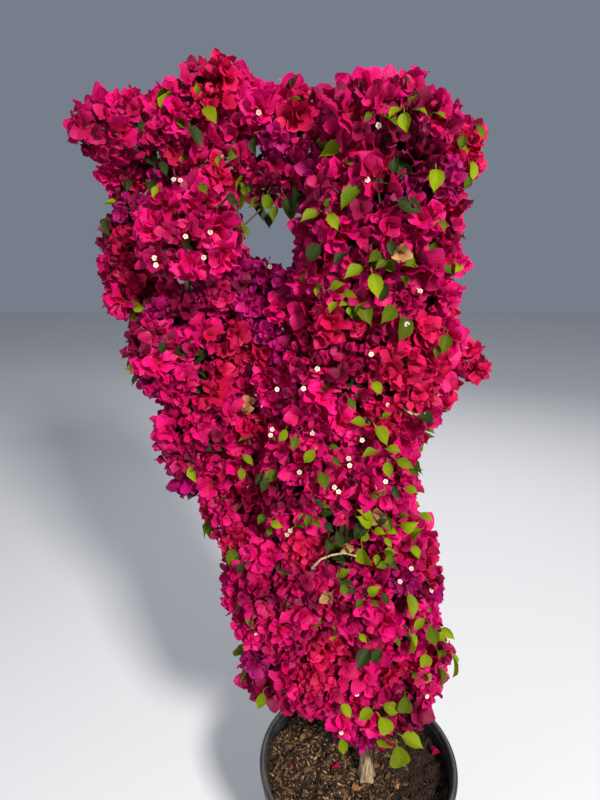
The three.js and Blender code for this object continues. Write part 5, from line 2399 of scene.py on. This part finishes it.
    def _grow_florets(self) -> None:
        """Sets white stars in some of the open flowers, and where the photo shows one."""
        bases, frames, sizes = (np.concatenate(column) for column in zip(*self.opened))
        chosen = self.random.random(len(bases)) < self.star_share
        shapes = self.random.choice(FLORET_SHAPES, int(chosen.sum()), p=FLORET_SHARES)
        self.florets.add(bases[chosen], frames[chosen], sizes[chosen], shapes)
        for pixel in WHITE_STARS:
            met, found = self.view.meet(pixel, self.spaces)
            if not found:
                continue
            out = unit(met - self.spaces.middles[self.spaces.nearest(met)])
            axis = unit(out * 0.6 - self.view.ray(pixel) + self.random.normal(0, 0.2, 3))
            base = met + self.view.ray(pixel) * 0.004 - axis * self.star_height
            frame = frames_on(axis[None], self.random.uniform(0, FULL_TURN, 1))
            shape = self.random.choice(FLORET_SHAPES, 1, p=FLORET_SHARES)
            self.florets.add(base[None], frame, np.array([self.star_size]), shape)

    def _set_odd_bracts(self) -> None:
        """Sets the dried bracts that the photo shows, and those that have fallen on the mix."""
        for pixel in DRIED_BRACTS:
            k, base = self.spaces.nearest(self._met(pixel)), self._met(pixel, 0.012)
            axis = unit(self.random.normal(0, 0.6, 3) - self.view.ray(pixel))
            self._set_flowers(k, Tint.DRIED, base[None], axis[None], self.random.uniform(*self.dried_size, 1))
        for i, pixel in enumerate(FALLEN_BRACTS):
            base, tint = self.view.at_height(pixel, self.mix_level), (Tint.DEEP, Tint.DRIED)[i % 2]
            axis, k = unit(self.random.normal(0, 1, 3)), self.spaces.index["low_tip"]
            self._set_flowers(k, tint, base[None], axis[None], np.array([self.fallen_size]))

    def _shapes(self) -> dict[str, ShapeStore]:
        """Builds the shapes that are set out.

        Returns:
            The shapes of bracts, leaves and florets.
        """
        random, flower = np.random.default_rng(self.seed + 1), Flower()
        bud, leaf, floret = Flower(stations=(0.16, 0.5, 0.82), across=(-1, 0, 1)), Leaf(), Floret()
        rows = (
            ("bracts", flower, np.linspace(0.15, 1, FLOWER_SHAPES)),
            ("bracts", bud, np.linspace(0.1, 0.8, BUD_SHAPES)),
            ("leaves", leaf, np.linspace(0.1, 1, LEAF_SHAPES)),
            ("florets", floret, range(1, 1 + FLORET_SHAPES)),
        )
        shapes = defaultdict(list)
        for word, kind, forms in rows:
            shapes[word] += [kind.shape(form, random) for form in forms]
        return {word: ShapeStore(word, made) for word, made in shapes.items()}

    def build(self) -> list[tuple[Piece, list[str], Slot]]:
        """Makes the crown's pieces.

        Returns:
            Each piece with the nodes that it stands for and its slot.
        """
        every = [mass.node for mass in MASSES]
        nodes = {lobe: [mass.node for mass in MASSES if mass.lobe == lobe] for lobe in Lobe}
        made, stores, arranger, sweeper = [], self._shapes(), SprayArranger(), TwigArranger()
        finishes = {kind: kind.value.material() for kind in (*Tint, *Green)}
        for word, kinds in (("bracts", self.flowers), ("leaves", self.leaves)):
            for (lobe, kind), sprays in sorted(kinds.items(), key=lambda item: str(item[0])):
                name = f"{lobe.value}_{kind.name.lower()}_{word}"
                values = {"Shapes": stores[word].collection, "Finish": finishes[kind], "Seed": len(made)}
                made.append((arranger.run(sprays.host(name), name, values), nodes[lobe], Slot.BLOSSOM))
        values = {"Shapes": stores["florets"].collection, "Finish": PETAL.material(), "Seed": 5}
        white = arranger.run(self.florets.host("white_florets"), "white_florets", values)
        made.append((white, every, Slot.BLOSSOM))
        # The pale skin is the twig skin with painted sunlight, for the bare twigs that catch the sun.
        skin, pale = TWIG_SKIN.material(), SUNLIT_TWIG_SKIN.material()
        sweeps = (("boughs", self.boughs, 6, skin), ("flower_stalks", self.twigs, 3, skin))
        for name, lines, sides, finish in (*sweeps, ("bare_twigs", self.bare, 8, pale)):
            piece = sweeper.run(self._lines(name, lines), name, {"Sides": sides, "Finish": finish})
            made.append((piece, every, Slot.BARK))
        for store in stores.values():
            store.clear()
        return made

    @staticmethod
    def _lines(name: str, lines: list[tuple[Array, Array]]) -> Piece:
        """Makes a mesh of edges that a section is swept along.

        Args:
            name: The object's name.
            lines: The points of each line, and the radius at each point.

        Returns:
            The object.
        """
        points, girths = (np.concatenate(column) for column in zip(*lines))
        ends = np.cumsum([len(line[0]) for line in lines])
        edges = [(i, i + 1) for line, end in zip(lines, ends) for i in range(end - len(line[0]), end - 1)]
        return point_cloud(name, points, edges, girth=girths)


@dataclass(frozen=True)
class Studio:
    """A plain pale floor, a pale surround and soft lights."""

    floor_size: float = 14.0
    pale: Colour = (0.62, 0.63, 0.64)
    matte: float = 0.9
    surround: float = 0.26
    sky: Colour = (0.70, 0.80, 1.0)
    aim: Point = (-0.1, 0.0, 1.0)
    lights: tuple[tuple[str, Point, float, float, Colour], ...] = (
        ("key", (1.5, -3.3, 3.6), 0.7, 400.0, (1.0, 0.96, 0.92)),
        ("fill", (-2.6, -1.8, 1.6), 2.2, 26.0, (0.96, 0.96, 1.0)),
        ("back", (0.8, 2.6, 2.6), 1.8, 50.0, (1.0, 0.98, 0.96)),
    )

    def build(self) -> None:
        """Builds the floor, the surround and the lights."""
        half = self.floor_size / 2
        corners = np.array([(-1, -1, 0), (1, -1, 0), (1, 1, 0), (-1, 1, 0)]) * half
        floor = mesh_object("floor", corners, [(0, 1, 2, 3)])
        paint = bpy.data.materials.new("floor_paint")
        paint.use_nodes = True
        surface = paint.node_tree.nodes["Principled BSDF"]
        surface.inputs["Base Color"].default_value = (*self.pale, 1)
        surface.inputs["Roughness"].default_value = self.matte
        floor.data.materials.append(paint)
        floor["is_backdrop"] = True
        world = bpy.data.worlds.new("surround")
        world.use_nodes = True
        backdrop = world.node_tree.nodes["Background"]
        backdrop.inputs["Color"].default_value = (*self.sky, 1)
        backdrop.inputs["Strength"].default_value = self.surround
        bpy.context.scene.world = world
        for light in self.lights:
            self._light(*light)
        bpy.context.scene.view_settings.view_transform = "Standard"

    def _light(self, name: str, place: Point, size: float, power: float, colour: Colour) -> None:
        """Hangs one square light that faces the middle of the bush.

        Args:
            name: The light's name.
            place: Where it hangs.
            size: The length of its sides.
            power: Its power in watts.
            colour: Its colour.
        """
        data = bpy.data.lights.new(name, "AREA")
        data.size, data.energy, data.color = size, power, colour
        light = placed(name, data)
        light.location = place
        light.rotation_euler = (Vector(self.aim) - Vector(place)).to_track_quat("-Z", "Y").to_euler()


def main() -> None:
    """Loads the frame and builds the pot, the mix, the wood, the crown and the studio around it."""
    logging.basicConfig(level=logging.INFO, format="%(name)s %(message)s")
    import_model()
    frame_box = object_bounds()
    view = Viewpoint()
    view.build()
    pot = NurseryPot()
    hand_over(pot.build(), ["pot"], Slot.POT)
    mix = PottingMix(pot)
    for piece in (mix.build(), *mix.scatter()):
        hand_over(piece, ["potting_mix"], Slot.MIX)
    spaces = MassSpaces(MASSES)
    wood = Woodwork(spaces)
    wood.grow()
    for node, piece in wood.build().items():
        hand_over(piece, [node], Slot.BARK)
    crown = Crown(spaces, wood, view, np.array([list(corner) for corner in frame_box]))
    crown.grow()
    LOG.info("heads of blossom: %d", len(crown.heads))
    for piece, nodes, slot in crown.build():
        hand_over(piece, nodes, slot)
    Studio().build()
    total = sum(len(piece.data.loop_triangles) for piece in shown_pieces() if piece.type == "MESH")
    LOG.info("triangles in all: %d", total)


if __name__ == "__main__":
    main()
